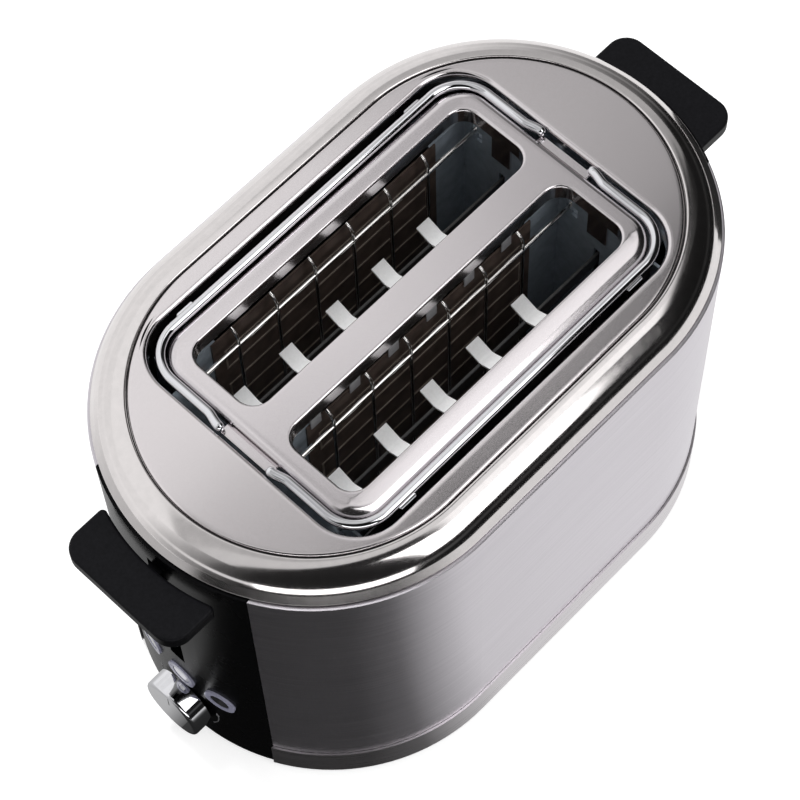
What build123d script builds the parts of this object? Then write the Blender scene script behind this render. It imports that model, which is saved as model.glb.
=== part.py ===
from build123d import *
from math import asin, atan2, cos, degrees, hypot, sin, sqrt, tan
import os

# Two-slot toaster with a warming rack, as separate pieces in their real places.
# Millimetres. X runs along the toaster with the control end at -X, Z is up, and the feet stand at Z = 0.
# The body's outline is a stadium: two half circles joined by straight sides.

os.makedirs("parts", exist_ok=True)

# Slots and slot plate
slot_half_length = 75.7
slot_half_width = 18.1
slot_web = 7.4             # middle of the toaster to the near edge of each slot
slot_corner = 8.0
slot_collar = 1.6
slot_collar_depth = 8.0
slot_edge = 1.1            # rounding of the slots' rims
plate_end_margin = 8.8     # slot to the edge of the plate's raised centre, at the ends
plate_side_margin = 10.4   # the same along the sides
plate_rise = 1.3           # top panel to the top of the slot plate
plate_height = 5.7         # height of the raised centre
plate_corner_step = 1.0    # how much sharper the plate's corners are than the rods'
plate_shoulder = 4.5       # rounding of the raised centre's edge
plate_sheet = 1.2
tongue_half_width = 13.0   # tongues of the slot plate at both ends
tongue_length = 3.8
plate_tab_half_width = 5.0
plate_tab_depth = 12.0     # how far the plate's tabs reach down on the end plates

# Warming rack
rack_travel = 28.0
rack_wire = 2.0            # radius of the rods
rack_offset = 1.9          # slot plate's edge to the middle of the rods
rack_drop = 0.7            # top panel down to the middle of the rods
rack_corner_step = 4.0     # how much sharper the rods' corners are than the panel's
rack_tip_reach = 1.5       # how far the rods' tips bend outward
rack_tip_gap = 0.4         # tips to the panel
rack_tip_y = 13.5
rack_tip_start = 19.0      # where the rod's end starts to turn outward
leg_inset = 24.4           # end of the rack to the middle of its legs
leg_width = 8.0
leg_sheet = 1.5
leg_weld = 0.4             # how deep the legs sit in the rods

# Top panel and trim ring
channel_side = 5.6         # middle of the rack's rods to the panel, along the sides
mouth_lip = 1.0
mouth_lip_depth = 8.0
mouth_lip_gap = 0.44       # lip to the ring's ledge at the corners
mouth_round = 0.9
panel_margin = 7.7         # width of the panel along the sides
panel_sheet = 1.3
groove_width = 1.2         # groove between ring and panel
ledge_width = 3.4          # ledge of the ring that carries the panel
ring_width = 15.6          # inner edge of the trim ring to the outside of the body
rim_inset = 1.0            # outside of the body to the lower edge of the trim ring
rim_gap = 0.8              # side sheets to the ring above them
shoulder_inset = 2.4       # slope of the ring's flared edge
shoulder_rise = 4.1        # height of the flared edge
dome_height = 6.8          # flared edge to the ring's ridge
rim_sheet = 1.3
rim_skirt = 10.0           # how far the ring's skirt reaches down into the body

# Body
wall_top = 174.5           # top of the side sheets and end caps
end_room = 47.2            # panel's opening to the outside of each end cap
side_sheet = 0.9
sheet_edge = 0.5           # bevel of the side sheets' top edge
cap_wall = 2.9
cap_half_width = 39.7      # middle to the seam between cap and side sheet
cap_lap = 7.0              # how far the cap reaches behind the side sheet
seam_gap = 0.3
slide_gap = 0.35           # clearance between a sliding piece and what guides it
run_gap = 0.05             # radial clearance of a bush on its rod
floor_gap = 2.5            # table to the underside of the base
base_sheet = 2.5
base_rim_wall = 2.2
base_rim_rise = 0.6        # base's rim over the plinth
plinth_top = 20.4
plinth_step = 1.0          # how far the plinth stands proud of the side sheets
plinth_lap = 8.0           # height of the base's lip behind the side sheets

# Toasting frame
frame_margin = 4.3         # slot's end to the middle of each end plate
frame_sheet = 1.2
frame_drop = 2.5           # side sheets' top to the frame's top
frame_foot = 12.0          # feet of the end plates, screwed to the base
frame_return = 20.0        # returns of the end plates, behind the heater boards
frame_return_sheet = 1.0
frame_return_bottom = 30.0
frame_side_gap = 1.0       # frame to the lift's side arms
lifter_slot_half = 1.5
lifter_slot_room = 3.0     # room above and below the lifters' path
shield_inset = 6.0         # frame's edge to each heat shield
shield_sheet = 0.6
shield_bottom = 20.0
board_gap = 2.4            # slot's edge to the middle of the heater board
board_sheet = 0.8
board_lap = 2.6            # how far the boards reach over the returns
board_bottom = 24.0
board_drop = 1.0           # frame's top to the boards' top
ribbon_end_margin = 6.0
ribbon_sheet = 0.25
ribbon_width = 0.9
ribbon_count = 10
ribbon_margin = 12.0       # board's edge to the first ribbon

# Bread guides
guide_inset = 2.6          # slot's edge to the guide wires at rest
guide_travel = 3.0
guide_wire = 0.8           # radius of the upright wires
guide_rail = 1.0           # radius of the rails
guide_drop = 6.0           # frame's top to the guides' upper rails
guide_bottom = 50.0
guide_posts = 6
guide_pitch = 21.0
guide_overhang = 1.4       # how far the rails reach past the end plates
hook_straight = 3.0        # upper rail to the wires' hooked tips
hook_height = 6.5
hook_reach = 3.5
notch_play = 0.5           # room round the guides' rails in the end plates
notch_leg = 3.0            # how far the notches' legs reach up and down

# Toast carriage
lifter_drop = 19.0         # guides' upper rails to the lifters with the lever up
lifter_height = 8.0
lifter_sheet = 1.2
lifter_overhang = 1.4      # how far the lifters reach past the far end plate
tab_count = 5
tab_pitch = 25.8
tab_margin = 13.7          # slot's end to the first tab
tab_width = 7.0
tab_gap = 3.9              # tabs to the guide wires when those close in
tab_rise = 3.5
slider_room = 1.0          # sliders to the brackets above them
slider_height = 16.0
slider_length = 12.0
slider_margin = 2.5        # lifters to the sides of the slider
slider_gap = 13.4          # end plate to the slider
guide_rod = 2.5            # radius of both sliders' rods
carriage_rod_y = 16.0
armature_sheet = 2.5
armature_half_width = 9.0
armature_gap = 3.4         # end plate to the armature
spring_gap = 2.0           # slider's side to the spring
spring_radius = 4.0
spring_wire = 0.5
spring_turns = 9
spring_length = 42.0       # with the lever up
spring_arm = 1.6
spring_arm_root = 8.0      # length of the arm's joint with the slider
magnet_gap = 0.5
magnet_height = 25.0
magnet_half_width = 11.0
magnet_length = 12.0
magnet_leg = 3.0
magnet_core_half = 2.5
magnet_coil_half_width = 7.0
magnet_coil_margin = 1.5

# Levers, the same at both ends
handle_drop = 9.5          # side sheets' top to the handles' top
handle_thickness = 7.0
handle_depth = 20.0        # end cap to the handle's outer edge
handle_half_width = 30.0
handle_corner = 9.0
handle_inner_corner = 2.0
handle_gap = 2.0           # handle to end cap
handle_edge = 1.2
stem_half_width = 3.0
stem_height = 12.0
stem_rise = 1.0            # how far the stem reaches up into the handle
stem_sink = 3.0            # how far the stem runs in under the handle
lever_slot_play = 1.0      # stem to each side of the slot in the cap
lever_slot_room = 2.5      # room below the stem at the end of its travel
lever_slot_rise = 4.0      # room above the stem
lever_slot_end = 11.3      # lowest end of the toast lever's slot to the button rings

# Brackets in the two end compartments
bracket_drop = 12.0        # frame's top to the brackets' underside
bracket_sheet = 2.0
bracket_margin = 6.0       # lift rods to the brackets' sides
bracket_flange = 9.0
bracket_flange_sheet = 1.6
bracket_reach = 2.0        # sliders to the brackets' ends
bracket_gap = 3.5          # brackets to the inside of the body
shelf_gap = 2.0            # crumb tray's opening to the shelf above it

# Lift of the rack
lift_bar_gap = 2.4         # end plate to the lift frame's cross bar
lift_height = 10.0
lift_sheet = 1.5
lift_pin_margin = 6.0      # lift frame's underside to its pin
lift_rod_gap = 7.0         # cross bar's inner face to its rods
lift_rod_inset = 20.5      # side arms to the rods
lift_rod = 2.0             # radius
lift_lug_half_width = 3.6
lift_lug_reach = 5.0       # rods to the lugs' ends
rack_slider_length = 10.0
rack_slider_margin = 4.0   # pin to the slider's side
rack_slider_rear = 20.0
rack_slider_gap = 16.0     # strap to the middle of the slider
rack_rod_y = 14.0
rocker_gap = 2.5           # cross bar to the rocker arm
rocker_sheet = 1.5
rocker_reach = 24.0        # pivot to each pin, across the toaster
rocker_pin = 2.0           # radius
rocker_play = 1.2
rocker_rim = 2.4
rocker_hub = 7.5
rocker_side_play = 0.4
pin_end = 1.5              # how far the pins reach past the rocker
pivot_drop = 7.0           # sliders' underside to the rocker's pivot
pivot_pin = 3.0            # radius
pivot_head = 5.0
pivot_head_length = 0.9
strap_gap = 6.0            # rocker's inner face to the strap that holds its pivot
strap_sheet = 1.5
strap_half_width = 8.0
strap_reach = 12.0         # pivot to the strap's lower end

# Controls
knob_radius = 14.6
knob_shaft_gap = 3.0       # base's rim to the knob's shaft
knob_length = 9.2
knob_gap = 0.5
knob_edge = 1.6
knob_skin = 2.5            # front wall of the knob, ahead of its shaft
knob_line = 0.5            # width and depth of the pointer's groove
knob_line_length = 7.0
shaft_radius = 3.0
pot_radius = 8.0
pot_length = 8.0
circuit_gap = 16.6         # inside of the end cap to the circuit board
circuit_sheet = 1.6
circuit_half_width = 34.0
circuit_margin = 13.0      # middle of the buttons to the board's top
button_gap = 2.2           # knob to the button rings above it
button_pitch = 20.0        # along the curved face of the cap
button_radius = 4.2
button_travel = 1.5
button_proud = 0.6
button_flange = 5.4        # radius
button_flange_length = 1.2
button_stem = 1.6          # radius
button_play = 0.9          # room between stem and switch beyond the travel
ring_radius = 7.2
ring_body = 6.4            # radius of the ring's body in the cap
ring_bore = 4.6
ring_proud = 0.8
ring_seat = 0.5
ring_depth = 3.9
switch_size = 6.0
switch_depth = 3.5

# Crumb tray
tray_margin = 2.7          # cap's seam to the side of the tray's front
tray_side_step = 1.0       # how much narrower the pan is than its front, on each side
tray_pass_gap = 2.0        # tray's front to the end plates' openings
tray_end_gap = 3.4         # end plate to the end of the pan
tray_sheet = 0.8
tray_opening = 11.0        # height of the tray's opening
tray_room = 2.0            # pan's top to the top of the opening
tray_lip_reach = 3.5
tray_lip_half = 12.0
tray_lip_sheet = 2.0
tray_lip_drop = 2.0        # top of the opening to the finger lip

# Feet, screws and cord inlet
foot_end_reach = 18.5      # centre of the rounded end to the feet
foot_inset = 24.0          # outside of the body to the feet
foot_radius = 8.0
foot_peg = 4.0
screw_margin = 7.0         # side of the tray's way to the screws
screw_inset = 5.4          # end plate to the screws
screw_radius = 2.0
screw_head_radius = 3.8
screw_head = 1.5
screw_length = 9.0
inlet_margin = 13.7        # cap's seam to the middle of the inlet
inlet_height = 34.0
inlet_radius = 6.0
inlet_flange_radius = 9.0
inlet_flange = 2.0
inlet_seat = 0.9
inlet_nose = 7.0
inlet_bore = 3.6
inlet_length = 16.0
terminal_gap = 1.0         # terminal block to the rod beside it
terminal_half_x = 6.0
terminal_half_y = 9.0
terminal_height = 13.0

# Plan of the top, from the slots outward
slot_offset = slot_web + slot_half_width
plate_half_x = slot_half_length + plate_end_margin
plate_half_y = slot_offset + slot_half_width + plate_side_margin
tongue_end = plate_half_x + tongue_length
rack_half_x = plate_half_x + rack_offset
rack_half_y = plate_half_y + rack_offset
rack_tip_x = rack_half_x + rack_tip_reach
mouth_half_x = rack_tip_x + rack_wire + rack_tip_gap
mouth_half_y = rack_half_y + channel_side
ridge_radius = mouth_half_y + panel_margin + groove_width
body_radius = ridge_radius + ring_width
end_centre = mouth_half_x + end_room - body_radius
mouth_reach = mouth_half_x - end_centre
lip_limit = ridge_radius - ledge_width - mouth_lip_gap - mouth_lip
corner_room = mouth_reach + mouth_half_y - lip_limit
mouth_corner = corner_room - sqrt(corner_room ** 2 - mouth_reach ** 2 - mouth_half_y ** 2 + lip_limit ** 2)
rack_corner = mouth_corner - rack_corner_step
plate_corner = rack_corner - plate_corner_step
rim_radius = body_radius - rim_inset
shoulder_radius = rim_radius - shoulder_inset

# Plan of the body
liner_radius = body_radius - cap_wall
sheet_inner = body_radius - side_sheet
plinth_outer = body_radius + plinth_step
plinth_inner = plinth_outer - side_sheet
far_out = end_centre + plinth_outer + tray_lip_reach
near_face = end_centre + body_radius
side_limit = cap_half_width + seam_gap / 2
cap_limit = cap_half_width - seam_gap / 2
handle_inner = body_radius + handle_gap
lever_slot_half = stem_half_width + lever_slot_play
handle_reach = near_face + handle_depth
tray_front_half = cap_half_width - tray_margin
tray_half_width = tray_front_half - tray_side_step
tray_pass_half = tray_front_half + tray_pass_gap
corners = [(x, y) for x in (-1, 1) for y in (-1, 1)]

# Plan of the frame and of the end compartments
frame_x = slot_half_length + frame_margin
frame_out = frame_x + frame_sheet / 2
frame_in = frame_x - frame_sheet / 2
leg_x = rack_half_x - leg_inset
leg_inner = rack_half_y + rack_wire - leg_weld
leg_outer = leg_inner + leg_sheet
arm_outer = leg_outer + lift_sheet
lift_start = leg_x + leg_width / 2
frame_half_width = leg_outer - frame_side_gap
shield_offset = frame_half_width - shield_inset
board_offset = slot_half_width + board_gap
board_half_length = frame_in - frame_return + board_lap
ribbon_half_length = board_half_length - ribbon_end_margin
guide_offset = slot_half_width - guide_inset
guide_half_length = frame_out + guide_overhang
tab_start = tab_margin - slot_half_length
tab_reach = guide_offset - guide_travel - guide_wire - tab_gap
lifter_end = frame_out + lifter_overhang
armature_end = frame_out + armature_gap
magnet_end = armature_end + magnet_length
slider_in = frame_out + slider_gap
slider_out = slider_in + slider_length
slider_middle = (slider_in + slider_out) / 2
slider_half_width = slot_offset + slider_margin
spring_y = slider_half_width + spring_gap + spring_radius
near_bracket_end = slider_out + bracket_reach
lift_bar_x = frame_out + lift_bar_gap
lift_bar_out = lift_bar_x + lift_sheet
lift_rod_x = lift_bar_x + lift_rod_gap
lift_rod_y = arm_outer - lift_rod_inset
lift_lug_end = lift_rod_x + lift_lug_reach
bracket_half_width = lift_rod_y + bracket_margin
rocker_x = lift_bar_out + rocker_gap
rocker_out = rocker_x + rocker_sheet
strap_x = rocker_x + strap_gap
rack_slider_middle = strap_x + rack_slider_gap
rack_slider_in = rack_slider_middle - rack_slider_length / 2
rack_slider_out = rack_slider_middle + rack_slider_length / 2
rack_slider_front = rocker_reach + rack_slider_margin
far_bracket_end = rack_slider_out + bracket_reach
tray_near_end = frame_in - tray_end_gap
circuit_x = end_centre + liner_radius - circuit_gap
circuit_face = circuit_x + circuit_sheet / 2
foot_x = end_centre + foot_end_reach
foot_y = body_radius - foot_inset
screw_x = frame_in - screw_inset
screw_y = tray_pass_half + screw_margin
inlet_y = cap_half_width - inlet_margin
terminal_x = rack_slider_middle - guide_rod - terminal_gap - terminal_half_x

# Heights
rim_bottom = wall_top + rim_gap
shoulder_height = rim_bottom + shoulder_rise
deck_height = shoulder_height + dome_height
plate_top = deck_height + plate_rise
plate_foot = plate_top - plate_height
rack_height = deck_height - rack_drop
frame_top = wall_top - frame_drop
board_top = frame_top - board_drop
guide_top = frame_top - guide_drop
hook_start = guide_top + hook_straight
hook_top = hook_start + hook_height
plate_tab_bottom = frame_top - plate_tab_depth
lifter_top = guide_top - lifter_drop
lifter_bottom = lifter_top - lifter_height
bracket_bottom = frame_top - bracket_drop
bracket_top = bracket_bottom + bracket_sheet
slider_top = bracket_bottom - slider_room
slider_bottom = slider_top - slider_height
spring_foot = bracket_bottom - spring_length
handle_top = wall_top - handle_drop
handle_bottom = handle_top - handle_thickness
stem_top = handle_bottom + stem_rise
stem_bottom = stem_top - stem_height
lever_slot_top = stem_top + lever_slot_rise
base_top = floor_gap + base_sheet
base_rim_height = plinth_top + base_rim_rise
knob_height = base_rim_height + knob_shaft_gap + shaft_radius
button_height = knob_height + knob_radius + button_gap + ring_radius
carriage_slot_bottom = button_height + ring_radius + lever_slot_end
rack_slot_bottom = stem_bottom - rack_travel - lever_slot_room
lift_travel = stem_bottom - lever_slot_room - carriage_slot_bottom
armature_bottom = slider_bottom - armature_sheet
magnet_top = armature_bottom - lift_travel - magnet_gap
magnet_bottom = magnet_top - magnet_height
pivot_height = slider_bottom - pivot_drop
lever_pin_height = pivot_height + rack_travel / 2
lift_pin_height = pivot_height - rack_travel / 2
lift_bottom = lift_pin_height - lift_pin_margin
lift_top = lift_bottom + lift_height
strap_bottom = pivot_height - strap_reach
circuit_top = button_height + circuit_margin
tray_bottom = base_top + slide_gap
tray_roof = base_top + tray_opening
tray_top = tray_roof - tray_room
tray_lip_top = tray_roof - tray_lip_drop
shelf_bottom = tray_roof + shelf_gap
shelf_top = shelf_bottom + bracket_sheet

# Rocker arm
rocker_tilt = degrees(atan2(rack_travel / 2, rocker_reach))
pin_reach = hypot(rack_travel / 2, rocker_reach)


def save(piece, name):
    """Names a finished piece and writes it to its own file."""
    piece.label = name
    export_step(piece, f"parts/{name}.step")


def block(x0, x1, y0, y1, z0, z1, mode=Mode.ADD):
    """Adds or cuts a box given by its limits."""
    with BuildSketch(Plane.XY.offset(min(z0, z1))) as base_face:
        with Locations(((x0 + x1) / 2, (y0 + y1) / 2)):
            Rectangle(abs(x1 - x0), abs(y1 - y0))
    extrude(base_face.sketch, amount=abs(z1 - z0), mode=mode)


def rod(start, end, radius, mode=Mode.ADD):
    """Adds or cuts a round bar from one point to another."""
    reach = Vector(*end) - Vector(*start)
    with BuildSketch(Plane(origin=start, z_dir=reach.normalized())) as end_face:
        Circle(radius)
    extrude(end_face.sketch, amount=reach.length, mode=mode)


def upright(x, y, bottom, top, radius, mode=Mode.ADD):
    """Adds or cuts an upright round bar."""
    rod((x, y, bottom), (x, y, top), radius, mode=mode)


def ball(spot, radius):
    """Adds a ball."""
    with Locations(spot):
        Sphere(radius)


def wall(outer, inner, bottom, top, window=None, mode=Mode.ADD):
    """Adds or cuts an upright wall along the body's outline, or the part of it inside a window."""
    with BuildSketch(Plane.XY.offset(bottom)) as outline:
        SlotCenterToCenter(2 * end_centre, 2 * outer)
        SlotCenterToCenter(2 * end_centre, 2 * inner, mode=Mode.SUBTRACT)
        if window:
            x0, x1, y0, y1 = window
            with Locations(((x0 + x1) / 2, (y0 + y1) / 2)):
                Rectangle(abs(x1 - x0), abs(y1 - y0), mode=Mode.INTERSECT)
    extrude(outline.sketch, amount=top - bottom, mode=mode)


def around_body(draw):
    """Adds a ring with the drawn section, carried all round the body's outline."""
    for end in (1, -1):
        section = draw(Plane(origin=(end * end_centre, 0, 0), x_dir=(0, -end, 0), z_dir=(-end, 0, 0)))
        extrude(section, amount=2 * end_centre)
        revolve(section, axis=Axis((end * end_centre, 0, 0), (0, 0, 1)), revolution_arc=180)


def radial_plane(end, angle, radius, height):
    """A plane on a rounded end that faces outward, at an angle from the toaster's long axis."""
    spot = (end * (end_centre + radius * cos(angle)), radius * sin(angle), height)
    along, outward = (-end * sin(angle), cos(angle), 0), (end * cos(angle), sin(angle), 0)
    return Plane(origin=spot, x_dir=along, z_dir=outward)


def disc(plane, radius, near, far, mode=Mode.ADD):
    """Adds or cuts a round piece on a plane's axis, between two distances along it."""
    with BuildSketch(plane.offset(near)) as face:
        Circle(radius)
    extrude(face.sketch, amount=far - near, mode=mode)


def side_window(side):
    """The part of the outline that a side sheet covers."""
    return -far_out, far_out, side * side_limit, side * far_out


def end_window(end, half_width):
    """The part of the outline at one rounded end."""
    return end * end_centre, end * far_out, -half_width, half_width


# Moulded base: floor, rim, bands behind the plinth, lips behind the side sheets
with BuildPart() as base:
    with BuildSketch(Plane.XY.offset(floor_gap)):
        SlotCenterToCenter(2 * end_centre, 2 * liner_radius)
    extrude(amount=base_sheet)
    wall(liner_radius, liner_radius - base_rim_wall, base_top, base_rim_height)
    for side in (-1, 1):
        wall(plinth_inner, liner_radius, floor_gap, plinth_top, side_window(side))
        wall(sheet_inner, liner_radius, plinth_top, plinth_top + plinth_lap, side_window(side))
    block(frame_x + frame_foot, far_out, -tray_front_half - slide_gap, tray_front_half + slide_gap,
          base_top, tray_roof, mode=Mode.SUBTRACT)
    for x, y in corners:
        upright(x * foot_x, y * foot_y, floor_gap, base_top, foot_peg, mode=Mode.SUBTRACT)
        upright(x * screw_x, y * screw_y, floor_gap, base_top, screw_radius, mode=Mode.SUBTRACT)
        upright(x * screw_x, y * screw_y, floor_gap, floor_gap + screw_head, screw_head_radius,
                mode=Mode.SUBTRACT)
save(base.part, "base")

# Four rubber feet, each with a peg in the base
with BuildPart() as rubber_feet:
    for x, y in corners:
        upright(x * foot_x, y * foot_y, 0, floor_gap, foot_radius)
        upright(x * foot_x, y * foot_y, floor_gap, base_top, foot_peg)
save(rubber_feet.part, "rubber_feet")

# Screws that hold the toasting frame to the base
with BuildPart() as base_screws:
    for x, y in corners:
        upright(x * screw_x, y * screw_y, floor_gap, floor_gap + screw_head, screw_head_radius)
        upright(x * screw_x, y * screw_y, floor_gap, floor_gap + screw_length, screw_radius)
save(base_screws.part, "base_screws")

# Steel skins of the plinth
for side, name in ((-1, "front_plinth"), (1, "rear_plinth")):
    with BuildPart() as plinth:
        wall(plinth_outer, plinth_inner, floor_gap, plinth_top, side_window(side))
    save(plinth.part, name)


def is_outer(edge):
    """Tells whether an edge runs along the outside of the body, seen from above."""
    middle = edge @ 0.5
    reach = hypot(max(abs(middle.X) - end_centre, 0), middle.Y)
    return reach > body_radius - side_sheet / 2 and edge.length > side_sheet * 4


# Brushed side sheets, each round one long side and part of both ends, with the top edge turned inward
for side, name in ((-1, "front_side"), (1, "rear_side")):
    with BuildPart() as side_panel:
        wall(body_radius, sheet_inner, plinth_top + seam_gap, wall_top, side_window(side))
        wall(sheet_inner, liner_radius, wall_top - side_sheet, wall_top, side_window(side))
        chamfer([edge for edge in edges().group_by(Axis.Z)[-1] if is_outer(edge)], length=sheet_edge)
    save(side_panel.part, name)


def cap_wall_and_laps(end):
    """Adds an end cap's wall and the laps behind the side sheets' edges."""
    wall(body_radius, liner_radius, floor_gap, wall_top, end_window(end, cap_limit))
    wall(sheet_inner, liner_radius, plinth_top + plinth_lap, wall_top - side_sheet,
         end_window(end, cap_half_width + cap_lap))


button_angles = [step * button_pitch / body_radius for step in (-1, 0, 1)]
button_planes = [radial_plane(-1, angle, body_radius, button_height) for angle in button_angles]

# Control end cap, with the lever's slot, the knob's hole and the buttons' seats
with BuildPart() as control_end_cap:
    cap_wall_and_laps(-1)
    block(-far_out, -end_centre, -lever_slot_half, lever_slot_half, carriage_slot_bottom, lever_slot_top,
          mode=Mode.SUBTRACT)
    rod((-far_out, 0, knob_height), (-end_centre, 0, knob_height), shaft_radius + run_gap, mode=Mode.SUBTRACT)
    for plane in button_planes:
        disc(plane, ring_radius, -ring_seat, ring_proud, mode=Mode.SUBTRACT)
        disc(plane, ring_body, -ring_depth, 0, mode=Mode.SUBTRACT)
save(control_end_cap.part, "control_end_cap")

inlet_plane = radial_plane(1, asin(inlet_y / body_radius), body_radius, inlet_height)

# Far end cap, with the rack lever's slot, the tray's opening and the cord inlet's hole
with BuildPart() as far_end_cap:
    cap_wall_and_laps(1)
    block(end_centre, far_out, -lever_slot_half, lever_slot_half, rack_slot_bottom, lever_slot_top,
          mode=Mode.SUBTRACT)
    block(end_centre, far_out, -tray_front_half - slide_gap, tray_front_half + slide_gap, base_top, tray_roof,
          mode=Mode.SUBTRACT)
    disc(inlet_plane, inlet_radius, -inlet_length, inlet_length, mode=Mode.SUBTRACT)
    disc(inlet_plane, inlet_flange_radius, -inlet_seat, inlet_flange, mode=Mode.SUBTRACT)
save(far_end_cap.part, "far_end_cap")

# Cord inlet gland in the far end cap
with BuildPart() as cord_inlet:
    disc(inlet_plane, inlet_radius, -inlet_length, inlet_nose)
    disc(inlet_plane, inlet_flange_radius, -inlet_seat, inlet_flange)
    disc(inlet_plane, inlet_bore, -inlet_length, inlet_nose, mode=Mode.SUBTRACT)
save(cord_inlet.part, "cord_inlet")


def rim_section(plane):
    """Section of the trim ring: flared edge, dome, ledge for the panel, and the skirt inside the body."""
    skirt_inner = liner_radius - rim_sheet
    skirt_bottom = rim_bottom - rim_skirt
    ledge_inner = ridge_radius - ledge_width
    ledge_top = deck_height - panel_sheet
    ledge_bottom = ledge_top - rim_sheet
    shoulder, ridge = (shoulder_radius, shoulder_height), (ridge_radius, deck_height)
    dome_inner, skirt_top = (ridge_radius, ledge_bottom), (skirt_inner, shoulder_height - rim_sheet)
    with BuildSketch(plane) as section:
        with BuildLine():
            Line((rim_radius, rim_bottom), shoulder)
            TangentArc(ridge, shoulder, tangent=(1, 0))
            Polyline(ridge, (ridge_radius, ledge_top), (ledge_inner, ledge_top), (ledge_inner, ledge_bottom),
                     dome_inner)
            TangentArc(dome_inner, skirt_top, tangent=(1, 0))
            Polyline(skirt_top, (skirt_inner, skirt_bottom), (liner_radius, skirt_bottom),
                     (liner_radius, rim_bottom), (rim_radius, rim_bottom))
        make_face()
    return section.sketch


def rounded_plan(half_x, half_y, corner, offset=0):
    """Draws a rectangle with round corners, grown all round by an offset."""
    RectangleRounded(2 * (half_x + offset), 2 * (half_y + offset), corner + offset)


# Polished trim ring round the top
with BuildPart() as trim_ring:
    around_body(rim_section)
save(trim_ring.part, "trim_ring")

# Satin top panel, with the rack's opening and its lip
with BuildPart() as top_panel:
    with BuildSketch(Plane.XY.offset(deck_height - panel_sheet)):
        SlotCenterToCenter(2 * end_centre, 2 * (ridge_radius - groove_width))
    extrude(amount=panel_sheet)
    with BuildSketch(Plane.XY.offset(deck_height - mouth_lip_depth)):
        rounded_plan(mouth_half_x, mouth_half_y, mouth_corner, mouth_lip)
    extrude(amount=mouth_lip_depth)
    with BuildSketch(Plane.XY.offset(deck_height - mouth_lip_depth)):
        rounded_plan(mouth_half_x, mouth_half_y, mouth_corner)
    extrude(amount=mouth_lip_depth, mode=Mode.SUBTRACT)
    mouth_edges = faces().sort_by(Axis.Z)[-1].inner_wires()[0].edges()
    fillet(mouth_edges, radius=mouth_round)
save(top_panel.part, "top_panel")

slot_spots = [(0, -slot_offset), (0, slot_offset)]

# Room under the slot plate's raised centre
with BuildPart() as plate_hollow:
    with BuildSketch(Plane.XY.offset(plate_foot)):
        rounded_plan(plate_half_x, plate_half_y, plate_corner, -plate_sheet)
    extrude(amount=plate_top - plate_foot - plate_sheet)
    fillet(edges().group_by(Axis.Z)[-1], radius=plate_shoulder - plate_sheet)

# Slot plate: raised centre with two collared slots, tongues at the ends and tabs to the frame
with BuildPart() as slot_plate:
    with BuildSketch(Plane.XY.offset(plate_foot)):
        rounded_plan(plate_half_x, plate_half_y, plate_corner)
    extrude(amount=plate_top - plate_foot)
    fillet(edges().group_by(Axis.Z)[-1], radius=plate_shoulder)
    add(plate_hollow.part, mode=Mode.SUBTRACT)
    with BuildSketch(Plane.XY.offset(plate_top - slot_collar_depth)):
        with Locations(*slot_spots):
            rounded_plan(slot_half_length, slot_half_width, slot_corner, slot_collar)
    extrude(amount=slot_collar_depth)
    with BuildSketch(Plane.XY.offset(plate_top - slot_collar_depth)):
        with Locations(*slot_spots):
            rounded_plan(slot_half_length, slot_half_width, slot_corner)
    extrude(amount=slot_collar_depth, mode=Mode.SUBTRACT)
    slot_rims = [edge for wire in faces().sort_by(Axis.Z)[-1].inner_wires() for edge in wire.edges()]
    fillet(slot_rims, radius=slot_edge)
    for end in (-1, 1):
        block(end * (plate_half_x - plate_sheet), end * tongue_end, -tongue_half_width, tongue_half_width,
              plate_foot, plate_foot + plate_sheet)
        for y in (-slot_offset, slot_offset):
            block(end * (frame_in - plate_sheet), end * frame_in, y - plate_tab_half_width,
                  y + plate_tab_half_width, plate_tab_bottom, plate_top - plate_sheet)
save(slot_plate.part, "slot_plate")

board_spots = [(slot, side, slot * slot_offset + side * board_offset) for slot, side in corners]
guide_spots = [(slot, side, slot * slot_offset + side * guide_offset) for slot, side in corners]


def frame_plate(end):
    """Adds an end plate of the toasting frame with its openings, feet and returns."""
    inner, outer = end * frame_in, end * frame_out
    block(inner, outer, -frame_half_width, frame_half_width, base_top, frame_top)
    block(inner, outer, -tray_pass_half, tray_pass_half, base_top, tray_roof, mode=Mode.SUBTRACT)
    slot_bottom = lifter_bottom - lift_travel - lifter_slot_room
    for y in (-slot_offset, slot_offset):
        block(inner, outer, y - lifter_slot_half, y + lifter_slot_half, slot_bottom,
              lifter_top + lifter_slot_room, mode=Mode.SUBTRACT)
    room = guide_rail + notch_play
    for slot, side, y in guide_spots:
        shut = y - side * guide_travel
        for height in (guide_bottom, guide_top):
            block(inner, outer, shut - side * room, y + side * room, height - room, height + room,
                  mode=Mode.SUBTRACT)
        block(inner, outer, shut - side * room, shut + side * room, guide_top - room - notch_leg, guide_top,
              mode=Mode.SUBTRACT)
        block(inner, outer, y - side * room, y + side * room, guide_top, guide_top + room + notch_leg,
              mode=Mode.SUBTRACT)
    for side in (-1, 1):
        block(end * (frame_in - frame_foot), inner, side * tray_pass_half, side * frame_half_width, base_top,
              base_top + frame_sheet)
        upright(end * screw_x, side * screw_y, base_top, base_top + frame_sheet, screw_radius,
                mode=Mode.SUBTRACT)
    for slot, side, y in board_spots:
        back = y + side * board_sheet / 2
        block(end * (frame_in - frame_return), inner, back, back + side * frame_return_sheet,
              frame_return_bottom, board_top)


# End plates of the toasting frame
with BuildPart() as near_frame_plate:
    frame_plate(-1)
save(near_frame_plate.part, "near_frame_plate")

with BuildPart() as far_frame_plate:
    frame_plate(1)
save(far_frame_plate.part, "far_frame_plate")

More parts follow.
